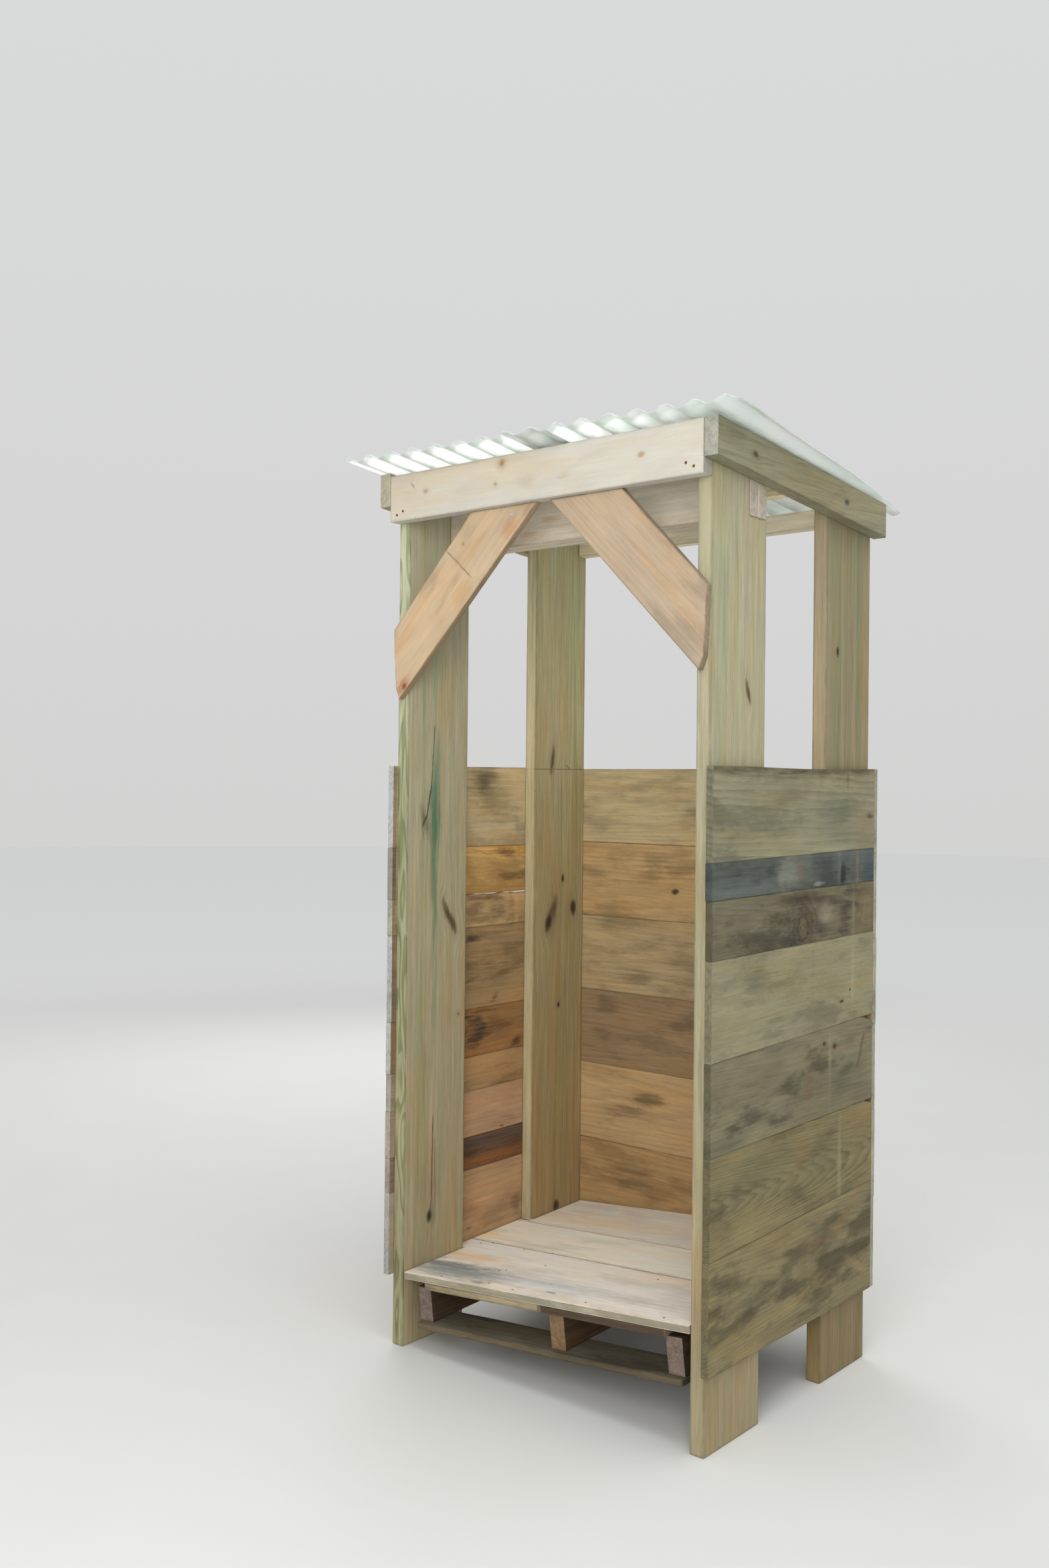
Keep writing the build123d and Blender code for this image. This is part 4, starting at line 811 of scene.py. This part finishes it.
# ---- floor and pallet
e1f = Vector((1.0, 0.0, FA)).normalized()
nf = Vector((-FA, -FB, 1.0)).normalized()
e2f = nf.cross(e1f).normalized()
FG = dict(bump=0.25, edge_dark=0.4, fibre=0.13, sawn=0.2)
floor_mats = [
    wood("wood_floor_1", tuple(e1f), tuple(e2f), (204, 201, 202), late=(188, 182, 178), pale=(210, 208, 211), seed=51, pitch=14.0, pith=(120.0, -100.0), lean=0.06,
         contrast=0.25, tone=0.08, mottle=0.14, dashes=0.15, **FG, end=(150, 142, 122), side=((118, 113, 99), 0.95),
         blobs=[(430.0, 100.0, 240.0, 46.0, (164, 167, 174), 0.65, -0.02, 0.95, 0.8), (190.0, 76.0, 200.0, 62.0, (124, 127, 132), 0.92, 0.0, 0.75, 0.6), (130.0, 108.0, 130.0, 22.0, (94, 100, 108), 0.75, 0.0, 0.95, 0.8),
                (46.0, 140.0, 40.0, 24.0, (116, 120, 126), 0.7, 0.0, 0.9, 0.8), (314.0, 28.0, 30.0, 9.0, (108, 104, 106), 0.85, 0.0, 0.9, 1.0), (136.0, 186.0, 92.0, 20.0, (210, 176, 142), 0.7, -0.05, 0.95, 0.8),
                (60.0, 194.0, 56.0, 20.0, (204, 168, 128), 0.65, 0.0, 0.95, 0.8), (130.0, 8.0, 120.0, 11.0, (206, 202, 190), 0.75, 0.0, 0.8, 0.8), (296.0, 125.0, 6.0, 4.0, (70, 68, 72), 0.9, 0.0, 0.5, 0.8),
                (496.0, 97.0, 8.0, 3.0, (110, 108, 124), 0.8, 0.0, 0.6, 1.2), (533.0, 48.0, 14.0, 4.0, (112, 110, 124), 0.8, 0.0, 0.6, 1.2), (470.0, 70.0, 150.0, 18.0, (196, 196, 206), 0.5, 0.0, 0.95, 0.9),
                (760.0, 90.0, 120.0, 30.0, (164, 158, 152), 0.55, 0.0, 0.9, 1.0)],
         tracks=[((-10.0, 319.0), (1000.0, 263.5), (110, 86, 64), 0.85, 3.2)]),
    wood("wood_floor_2", tuple(e1f), tuple(e2f), (182, 173, 168), late=(168, 154, 144), pale=(188, 180, 178), seed=52, pitch=13.0, pith=(400.0, -90.0), lean=0.05,
         contrast=0.25, tone=0.1, mottle=0.15, dashes=0.15, **FG,
         blobs=[(30.0, 366.0, 70.0, 26.0, (206, 160, 116), 0.75, 0.0, 0.9, 0.8), (240.0, 340.0, 160.0, 12.0, (160, 142, 124), 0.4, -0.05, 0.9, 1.0)],
         tracks=[((-10.0, 323.0), (1000.0, 267.5), (118, 92, 68), 0.7, 3.0), ((-10.0, 521.0), (1000.0, 465.5), (112, 86, 62), 0.8, 3.0)]),
    wood("wood_floor_3", tuple(e1f), tuple(e2f), (162, 146, 133), late=(148, 130, 112), pale=(168, 154, 144), seed=53, pitch=13.0, pith=(640.0, -90.0), lean=0.05,
         contrast=0.25, tone=0.12, mottle=0.15, dashes=0.15, **FG, blobs=[(300.0, 600.0, 300.0, 60.0, (166, 136, 106), 0.5, 0.0, 0.9, 0.9)]),
]
# the pallet's stringers and skids are dark pallet wood, made darker still by their tune as painted shade under the
# floor
stringer_mat = wood("wood_stringers", tuple(e2f), tuple(nf), (84, 66, 50), late=(60, 46, 36), seed=55, pitch=6.0, pith=(-60.0, -100.0), lean=0.03,
    contrast=0.5, tone=0.3, fibre=0.6, mottle=0.5, end=(124, 108, 98), edge_dark=0.5)
middle_mat = wood("wood_stringer_middle", tuple(e2f), tuple(nf), (96, 74, 50), late=(70, 52, 36), seed=58, pitch=6.0, pith=(-60.0, -100.0), lean=0.03,
    contrast=0.5, tone=0.3, fibre=0.6, mottle=0.5, end=(130, 106, 76), edge_dark=0.5)
deck_mat = wood("wood_deck", tuple(e1f), tuple(e2f), (150, 138, 112), late=(128, 114, 88), seed=56, pitch=7.0, pith=(60.0, -60.0), lean=0.03, contrast=0.4, tone=0.3,
    fibre=0.5, mottle=0.4, edge_dark=0.5,
    blobs=[(748.0, 60.0, 270.0, 90.0, (62, 46, 38), 0.92, 0.0, 0.03, 0.02)])
skid_mat = wood("wood_skids", tuple(e1f), tuple(e2f), (98, 92, 76), late=(80, 71, 56), seed=57, pitch=7.0, pith=(60.0, -60.0), lean=0.03, contrast=0.4, tone=0.3,
    fibre=0.5, mottle=0.5, edge_dark=0.5, side=((108, 90, 66), 0.6))

plastic = sheet_material("plastic_roof_sheet")
rusty_steel = metal_material("metal_rusty_nails", (142, 90, 62), (112, 68, 48))
dull_steel = metal_material("metal_nails", (92, 88, 84), (64, 56, 50))
bright_steel = metal_material("metal_screw", (222, 222, 226), (190, 190, 194), 0.3)

# --------------------------------------------------------------------- posts
def post_outline(y0, top, notch):
    if not notch:
        return ragged_loop([(y0, 0.0), (y0 + PW, 0.0), (y0 + PW, top), (y0, top)], 60.0, 0.35, int(y0) + 1)
    return ragged_loop([(0.0, 0.0), (PW, 0.0), (PW, 2132.5), (PW - 75.5, 2132.5), (PW - 75.5, top), (0.0, top)], 60.0, 0.35, 3)


for nm, x0, y0, top, notch, mt in (
    ("front_left_post", 0.0, 0.0, 2290.0, True, front_left_mat),
    ("front_right_post", W - T, 0.0, 2290.0, True, front_right_mat),
    ("back_left_post", 0.0, D - PW, 2246.0, False, back_left_mat),
    ("back_right_post", W - T, D - PW, 2246.0, False, back_right_mat),
):
    plank("piece_" + nm, post_outline(y0, top, notch), (x0, 0, 0), YL, ZL, T, mt, [nm],
          bevel=3.0, step=(40.0, 70.0), bow=0.0, seed=int(x0 + y0), end_axis=1)

# ------------------------------------------------------------ level crossbeams
def level_board(nm, x0, x1, y0, thick, z0, z1, mt, bevel=3.0, seed=0):
    # the plane is X, Z and the thickness runs towards -Y, so start at the back face
    out = ragged_loop([(x0, z0), (x1, z0), (x1, z1), (x0, z1)], 60.0, 0.35, seed)
    return plank("piece_" + nm, out, (0, y0 + thick, 0), XL, ZL, thick, mt, [nm], bevel=bevel, step=(60.0, 30.0), bow=0.0, seed=seed)


level_board("front_header", 0.0, W, -38.0, 37.6, HEAD_B, HEAD_T, header_mat, seed=61)
level_board("crossbeam_front_board", 0.6, W - 0.6, 160.0, 37.2, 2133.0, 2273.0, cross_mat, bevel=2.5, seed=62)
level_board("crossbeam_back_board", 0.6, W - 0.6, 197.7, 37.2, 2133.0, 2273.0, cross_mat, bevel=2.5, seed=63)
level_board("roof_purlin", 0.6, W - 0.6, 363.0, 38.0, 2218.0, 2284.0, purlin_mat, bevel=2.5, seed=64)
level_board("back_header", 38.6, W - 38.6, 727.0, 37.5, 2201.0, 2251.0, pink_mat, bevel=2.5, seed=65)

# ----------------------------------------------------------------- side beams
def beam_top(top, y):
    return top - FALL * (y + 38.0)


for nm, x0, top, sd, mt in (("left_side_beam", -38.0, TOP_L, 66, beam_left_mat), ("right_side_beam", W + 0.3, TOP_R, 67, beam_right_mat)):
    out = ragged_loop([(-38.0, beam_top(top, -38.0) - 89.0), (D + 15.0, beam_top(top, D + 15.0) - 89.0),
                       (D + 15.0, beam_top(top, D + 15.0)), (-38.0, beam_top(top, -38.0))], 60.0, 0.35, sd)
    plank("piece_" + nm, out, (x0, 0, 0), YL, ZL, 37.7, mt, [nm], bevel=3.0, step=(60.0, 30.0), bow=0.0, seed=sd)

# --------------------------------------------------------------------- braces
left_brace = [(21.0, 1728.0), (494.0, 2197.6), (276.0, 2197.6), (0.0, 1914.0), (8.0, 1759.0)]
right_brace = [(21.0, 1763.0), (456.0, 2197.6), (238.0, 2197.6), (0.0, 1953.0), (8.0, 1794.0)]
plank("piece_front_left_brace", ragged_loop(left_brace, 45.0, 0.6, 71), (0, -0.3, 0), XL, ZL, 18.6, brace_left_mat,
      ["front_left_brace"], bevel=1.4, step=(40.0, 40.0), bow=0.0, seed=71)
plank("piece_front_right_brace", ragged_loop([(W - a, b) for a, b in reversed(right_brace)], 45.0, 0.6, 72), (0, -0.3, 0), XL, ZL, 18.6,
      brace_right_mat, ["front_right_brace"], bevel=1.4, step=(40.0, 40.0), bow=0.0, seed=72)

# ------------------------------------------------------------ side wall boards
def side_boards(prefix, joints, x0, mats, seed):
    for i in range(1, len(joints)):
        tf, tb = joints[i - 1]
        bf, bb = joints[i]
        if prefix.startswith("left") and i == 3:
            tb -= 6.0
        g = 0.12
        rnd = random.Random(seed + i)
        y_front = -17.0 + rnd.uniform(0.0, 3.0)
        y_back = D - 0.5
        slope_t = (tb - tf) / (D + 17.0)
        slope_b = (bb - bf) / (D + 17.0)
        top = lambda y: tf + slope_t * (y + 17.0) - g
        bot = lambda y: bf + slope_b * (y + 17.0) + g
        corners = [(y_front, bot(y_front)), (y_back, bot(y_back)), (y_back, top(y_back)), (y_front, top(y_front))]
        amp = 0.7 if prefix.startswith("right") else 0.45
        bottom = ragged(corners[0], corners[1], 24.0, amp, seed + i * 5)
        back = ragged(corners[1], corners[2], 60.0, 0.2, seed + i * 5 + 1)
        topl = ragged(corners[2], corners[3], 24.0, amp, seed + i * 5 + 2)
        front = ragged(corners[3], corners[0], 60.0, 0.3, seed + i * 5 + 3)
        if prefix.startswith("left") and i == 3:
            topl = ragged(corners[2], corners[3], 10.0, 0.6, seed + i * 5 + 2)
            topl = [(a_, b_ + sum(h_ * math.exp(-((a_ - c_) / w_) ** 2) for c_, w_, h_ in ((300.0, 26.0, 2.2), (366.0, 9.0, 1.2), (440.0, 20.0, 2.4), (486.0, 8.0, 2.0), (600.0, 30.0, 3.6)))) for a_, b_ in topl]
        if prefix.startswith("right") and i == 1:
            # the top edge dips slightly along its length
            topl = [(a, b - 3.0 * math.sin(math.pi * max(0.0, min(1.0, (a - 150.0) / 600.0)))) for a, b in topl]
        if prefix.startswith("right") and i == 5:
            # a corner worn away at the back of the top edge
            topl = [(a, b - 20.0 * max(0.0, (a - 690.0) / 75.0) ** 1.6) for a, b in topl]
        if prefix.startswith("right") and i == 6:
            topl = [(a, b - 12.0 * max(0.0, (a - 715.0) / 50.0) ** 1.3) for a, b in topl]
        plank("piece_%s_wall_board_%d" % (prefix, i), bottom + back + topl + front, (x0, 0, 0), YL, ZL, 18.8, mats[i - 1],
              ["%s_wall_board_%d" % (prefix, i)], bevel=1.3, step=(50.0, 32.0), bow=0.5, seed=seed + i, skin=0.2)


side_boards("left", LEFT_J, -19.3, left_mats, 80)
side_boards("right", RIGHT_J, W + 0.4, right_mats, 100)

for i in range(1, len(BACK_J)):
    t, b = BACK_J[i - 1] - 0.12, BACK_J[i] + 0.12
    rnd = random.Random(120 + i)
    xa, xb = -19.0 + rnd.uniform(0, 2.0), W + 19.0 - rnd.uniform(0, 2.0)
    # drawn on X, Z with the thickness towards -Y, so the plane is the back face
    out = ragged_loop([(xa, b), (xb, b), (xb, t), (xa, t)], 24.0, 0.5, 120 + i)
    plank("piece_back_wall_board_%d" % i, out, (0, D + 18.8, 0), XL, ZL, 18.4, back_mats[i - 1], ["back_wall_board_%d" % i],
          bevel=1.3, step=(50.0, 32.0), bow=0.0, seed=120 + i, skin=0.2)

# ---------------------------------------------------------------- floor boards
def uv(x, y):
    v = y / e2f.y
    return ((x - v * e2f.x) / e1f.x, v)


j1l, j1r, j2l, j2r = 320.0, 320.0 - 0.055 * W, 522.0, 522.0 - 0.055 * W
L0, R0 = 3.0, 987.0
fl = (0, 0, F0)
b1 = [uv(41.2, 0.0), uv(948.8, 0.0), uv(948.8, 238.2), (R0, uv(0, 238.2)[1]), (R0, j1r), (L0, j1l), (L0, uv(0, 238.2)[1]), uv(41.2, 238.2)]
b2 = [(L0, j1l + 2.6), (R0, j1r + 2.6), (R0, j2r), (L0, j2l)]
b3 = [(L0, j2l + 2.6), (R0, j2r + 2.6), (R0, uv(0, 526.8)[1]), uv(948.8, 526.8), uv(948.8, 761.0), uv(41.2, 761.0), uv(41.2, 526.8), (L0, uv(0, 526.8)[1])]
for i, outl in enumerate((b1, b2, b3), start=1):
    o = Vector(fl) - nf * 19.0
    plank("piece_floor_board_%d" % i, ragged_loop(outl, 60.0, 0.35, 140 + i), tuple(o), tuple(e1f), tuple(e2f), 18.9, floor_mats[i - 1],
          ["floor_board_%d" % i], bevel=1.6, step=(60.0, 40.0), bow=0.0, seed=140 + i)

# ---------------------------------------------------------------------- pallet
def slab(nm, u0, u1, v0, v1, w0, w1, mt, nodes, seed, bevel=2.0, end_axis=0, amp=0.8):
    o = Vector(fl) + nf * w0
    return plank(nm, ragged_loop([(u0, v0), (u1, v0), (u1, v1), (u0, v1)], 40.0, amp, seed), tuple(o), tuple(e1f), tuple(e2f), w1 - w0, mt,
                 nodes, bevel=bevel, step=(60.0, 60.0), bow=0.0, seed=seed, end_axis=end_axis, skin=0.3)


for nm, mid, sd in (("pallet_left_stringer", 96.0, 151), ("pallet_middle_stringer", 546.0, 152), ("pallet_right_stringer", W - 96.0, 153)):
    slab("piece_" + nm, mid - 23.0, mid + 23.0, 18.0, 745.0, -128.0 + 0.2, -39.2, middle_mat if sd == 152 else stringer_mat, [nm], sd, end_axis=1)
plen = 741.0
dstep = (plen - 110.0) / 5.0
deck_pieces = [(111.0, 500.0, 0), (502.0, W - 111.0, 0)] + [(111.0, W - 111.0, i) for i in range(1, 6)]
skids = [(73.0, W - 73.0, i) for i in range(3)]


def merged(nm, parts, w0, w1, pitch_, mt, node, seed):
    obs = [slab("tmp_%s_%d" % (nm, k), a, b, 4.0 + i * pitch_, 114.0 + i * pitch_, w0, w1, mt, [], seed + k, bevel=1.8) for k, (a, b, i) in enumerate(parts)]
    bm = bmesh.new()
    for o in obs:
        bm.from_mesh(o.data)
    keep = obs[0]
    bm.to_mesh(keep.data)
    bm.free()
    for o in obs[1:]:
        bpy.data.objects.remove(o)
    keep.name = nm
    keep.data.set_sharp_from_angle(angle=math.radians(38))
    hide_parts(node)
    return keep


merged("piece_pallet_top_deck", deck_pieces, -39.0, -19.2, dstep, deck_mat, "pallet_top_deck", 160)
merged("piece_pallet_bottom_deck", skids, -145.0, -128.0, (plen - 110.0) / 2.0, skid_mat, "pallet_bottom_deck", 170)

# ----------------------------------------------------------- corrugated sheets
front_drop = FALL * SKS + TILT * SKC
run_drop = FALL * SKC - TILT * SKS
corner_z = TOP_L - FALL * (S_FRONT + 38.0) - TILT * S_LEFT + 0.6


def roof_point(s, t, lift):
    x = S_LEFT + s * SKC - t * SKS
    y = S_FRONT + s * SKS + t * SKC
    z = corner_z - front_drop * s - run_drop * t + lift
    return x, y, z


def trim(s, t):
    """How far along the front a point may go before the askew cut."""
    # x = 1123 - 0.116 (y + 80)
    for _ in range(3):
        x, y, _z = roof_point(s, t, 0.0)
        lim = 1123.0 - 0.116 * max(0.0, y + 80.0)
        if x > lim:
            s -= (x - lim) / SKC
    return s


def sheet(nm, s0, s1, lift, node, seed):
    bm = bmesh.new()
    fine = 75.0 / 14.0
    cols = [s0 + i * fine for i in range(int((s1 - s0) / fine) + 1)]
    if s1 - cols[-1] > 1.0:
        cols.append(s1)
    rows = [S_RUN * j / 26.0 for j in range(27)]
    grid = []
    for t in rows:
        line = []
        limit = trim(s1, t) if node.endswith("right") else s1
        for s in cols:
            ss = s0 + (s - s0) * (limit - s0) / (s1 - s0) if node.endswith("right") and s > s1 - 160.0 else s
            if node.endswith("right") and s > s1 - 160.0:
                f = (s - (s1 - 160.0)) / 160.0
                ss = (s1 - 160.0) + f * (limit - (s1 - 160.0))
            wv = 7.0 * (1.0 - math.cos(2.0 * math.pi * (ss + 24.0) / 75.0))
            sag = noise.noise(Vector((ss * 0.004, t * 0.003, seed))) * 1.6
            x, y, z = roof_point(ss, t, wv + lift + 0.9 + max(0.0, sag))
            line.append(bm.verts.new(inside(R(x, y, z), 0.0008)))
        grid.append(line)
    for j in range(len(rows) - 1):
        for i in range(len(cols) - 1):
            bm.faces.new((grid[j][i], grid[j][i + 1], grid[j + 1][i + 1], grid[j + 1][i]))
    bmesh.ops.recalc_face_normals(bm, faces=bm.faces[:])
    me = bpy.data.meshes.new(nm)
    bm.to_mesh(me)
    bm.free()
    me.shade_smooth()
    me.materials.append(plastic)
    ob = bpy.data.objects.new(nm, me)
    bpy.context.scene.collection.objects.link(ob)
    sol = ob.modifiers.new("thickness", "SOLIDIFY")
    sol.thickness = 0.0012
    sol.offset = 0.0
    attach(ob, "root")
    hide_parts(node)
    return ob


sheet("piece_roof_sheet_left", 0.0, 660.0, 0.0, "roof_sheet_left", 5.0)
sheet("piece_roof_sheet_right", 525.0, 1182.0, 2.3, "roof_sheet_right", 9.0)

# -------------------------------------------------------------- nails, screws
head = [(0.0, 0.55), (2.6, 0.5), (3.4, 0.3), (3.8, -0.1), (3.8, -0.6), (0.0, -0.6)]
nails = [("header", (26.0, -38.0, 2215.0), (0, -1, 0)), ("header", (48.0, -38.0, 2223.0), (0, -1, 0)),
         ("header", (W - 26.0, -38.0, 2216.0), (0, -1, 0)), ("header", (W - 47.0, -38.0, 2226.0), (0, -1, 0)),
         ("wall", (W + 19.2, 636.0, 985.0), (1, 0, 0))]
for i, (kind, c, a) in enumerate(nails):
    lathe("piece_nail_%s_%d" % (kind, i + 1), head, c, a, rusty_steel if kind == "header" else dull_steel)
for i, (x, y) in enumerate(((164, 17), (291, 130), (411, 17), (320, 30), (363, 205), (60, 287), (92, 302), (220, 287), (314, 296), (640, 22), (870, 20), (700, 240))):
    p = Vector(fl) + e1f * x + e2f * y - nf * 0.1
    lathe("piece_nail_floor_%d" % (i + 1), [(0.0, 0.3), (2.4, 0.25), (3.0, 0.0), (3.0, -0.6), (0.0, -0.6)], tuple(p), tuple(nf), dull_steel)
lathe("piece_screw_brace", [(0.0, 0.2), (1.0, 0.2), (1.2, 0.5), (3.2, 0.9), (4.2, 0.5), (4.4, -0.5), (0.0, -0.5)], (413.0, -18.9, 2176.0), (0, -1, 0), bright_steel)

# ----------------------------------------------------------------- the studio
def stage_floor():
    bm = bmesh.new()
    n = 48
    ring = [bm.verts.new((30.0 * math.cos(2 * math.pi * i / n), 30.0 * math.sin(2 * math.pi * i / n), 0.0)) for i in range(n)]
    bm.faces.new(ring)
    me = bpy.data.meshes.new("studio_floor")
    bm.to_mesh(me)
    bm.free()
    m = Net("studio_floor_paint")
    tex = m.node("ShaderNodeTexCoord").outputs["Object"]
    n1, _ = m.noise(tex, 3.0, 3.0, 0.5)
    # painted light: the floor lightens with distance, evening out the lamps' fall-off so the far floor meets the
    # backdrop
    far_floor_painted_light = m.span(m.vec("LENGTH", tex), 2.0, 9.0)
    bsdf = m.node("ShaderNodeBsdfPrincipled")
    out = m.node("ShaderNodeOutputMaterial")
    m.put(bsdf.inputs["Base Color"], m.mix(far_floor_painted_light, m.mix(n1, srgb(206, 206, 203), srgb(210, 210, 207)), srgb(240, 240, 239)))
    bsdf.inputs["Roughness"].default_value = 0.9
    m.put(out.inputs[0], bsdf.outputs[0])
    me.materials.append(m.mat)
    ob = bpy.data.objects.new("studio_floor", me)
    bpy.context.scene.collection.objects.link(ob)


stage_floor()
world = bpy.data.worlds.new("studio_world")
bpy.context.scene.world = world
world.use_nodes = True
wn = world.node_tree
wn.nodes.clear()
wt = wn.nodes.new("ShaderNodeTexCoord")
ws = wn.nodes.new("ShaderNodeSeparateXYZ")
wn.links.new(wt.outputs["Generated"], ws.inputs[0])
wr = wn.nodes.new("ShaderNodeMapRange")
wr.inputs[1].default_value, wr.inputs[2].default_value = -0.05, 0.9
wr.inputs[3].default_value, wr.inputs[4].default_value = 0.0, 1.0
wn.links.new(ws.outputs[2], wr.inputs[0])
wm = wn.nodes.new("ShaderNodeMix")
wm.data_type = "RGBA"
wn.links.new(wr.outputs[0], wm.inputs[0])
wm.inputs[6].default_value = (0.765, 0.765, 0.76, 1.0)
wm.inputs[7].default_value = (0.86, 0.875, 0.88, 1.0)
wb = wn.nodes.new("ShaderNodeBackground")
wn.links.new(wm.outputs[2], wb.inputs[0])
wb.inputs[1].default_value = 0.85
wo = wn.nodes.new("ShaderNodeOutputWorld")
wn.links.new(wb.outputs[0], wo.inputs[0])


def area(name, loc, target, size, energy, color=(1, 1, 1)):
    li = bpy.data.lights.new(name, "AREA")
    li.shape = "RECTANGLE"
    li.size, li.size_y = size
    li.energy = energy
    li.color = color
    ob = bpy.data.objects.new(name, li)
    ob.location = loc
    ob.rotation_mode = "QUATERNION"
    ob.rotation_quaternion = (Vector(target) - Vector(loc)).to_track_quat("-Z", "Y")
    bpy.context.scene.collection.objects.link(ob)
    return ob


area("key_light", (2.3, -4.3, 2.5), (0.0, 0.1, 1.1), (3.2, 3.0), 150.0, (1.0, 0.985, 0.96))
area("top_light", (1.6, -0.6, 5.2), (0.0, 0.0, 0.0), (2.6, 2.6), 88.0, (0.97, 1.0, 1.0))
area("back_light", (-3.6, 2.8, 3.2), (0.0, 0.0, 1.0), (2.6, 2.6), 60.0, (1.0, 1.0, 1.0))

# ----------------------------------------------------------------- the camera
CAM = dict(f=2114.4, phi=math.radians(40.32), pitch=math.radians(-0.03), roll=math.radians(0.55), pos=(2719.0, -2677.4, 1503.0))
cam_data = bpy.data.cameras.new("photo_camera")
cam = bpy.data.objects.new("photo_camera", cam_data)
bpy.context.scene.collection.objects.link(cam)
cam_data.sensor_width = 36.0
cam_data.sensor_fit = "AUTO"
cam_data.lens = CAM["f"] / 2343.0 * 36.0
cam_data.clip_start, cam_data.clip_end = 0.05, 200.0
phi, pit, rol = CAM["phi"], CAM["pitch"], CAM["roll"]
level = Vector((-math.sin(phi), math.cos(phi), 0.0))
right = Vector((math.cos(phi), math.sin(phi), 0.0))
fwd = level * math.cos(pit) - Vector((0, 0, 1)) * math.sin(pit)
upv = Vector((0, 0, 1)) * math.cos(pit) + level * math.sin(pit)
r2 = right * math.cos(rol) + upv * math.sin(rol)
u2 = -right * math.sin(rol) + upv * math.cos(rol)
mat = Matrix((r2, u2, -fwd)).transposed()
cam.rotation_mode = "QUATERNION"
cam.rotation_quaternion = mat.to_quaternion()
cam.location = R(*CAM["pos"])
bpy.context.scene.camera = cam

bpy.context.scene.view_settings.view_transform = "Standard"
bpy.context.scene.view_settings.look = "None"
bpy.context.scene.view_settings.exposure = 0.0
bpy.context.scene.view_settings.gamma = 1.0
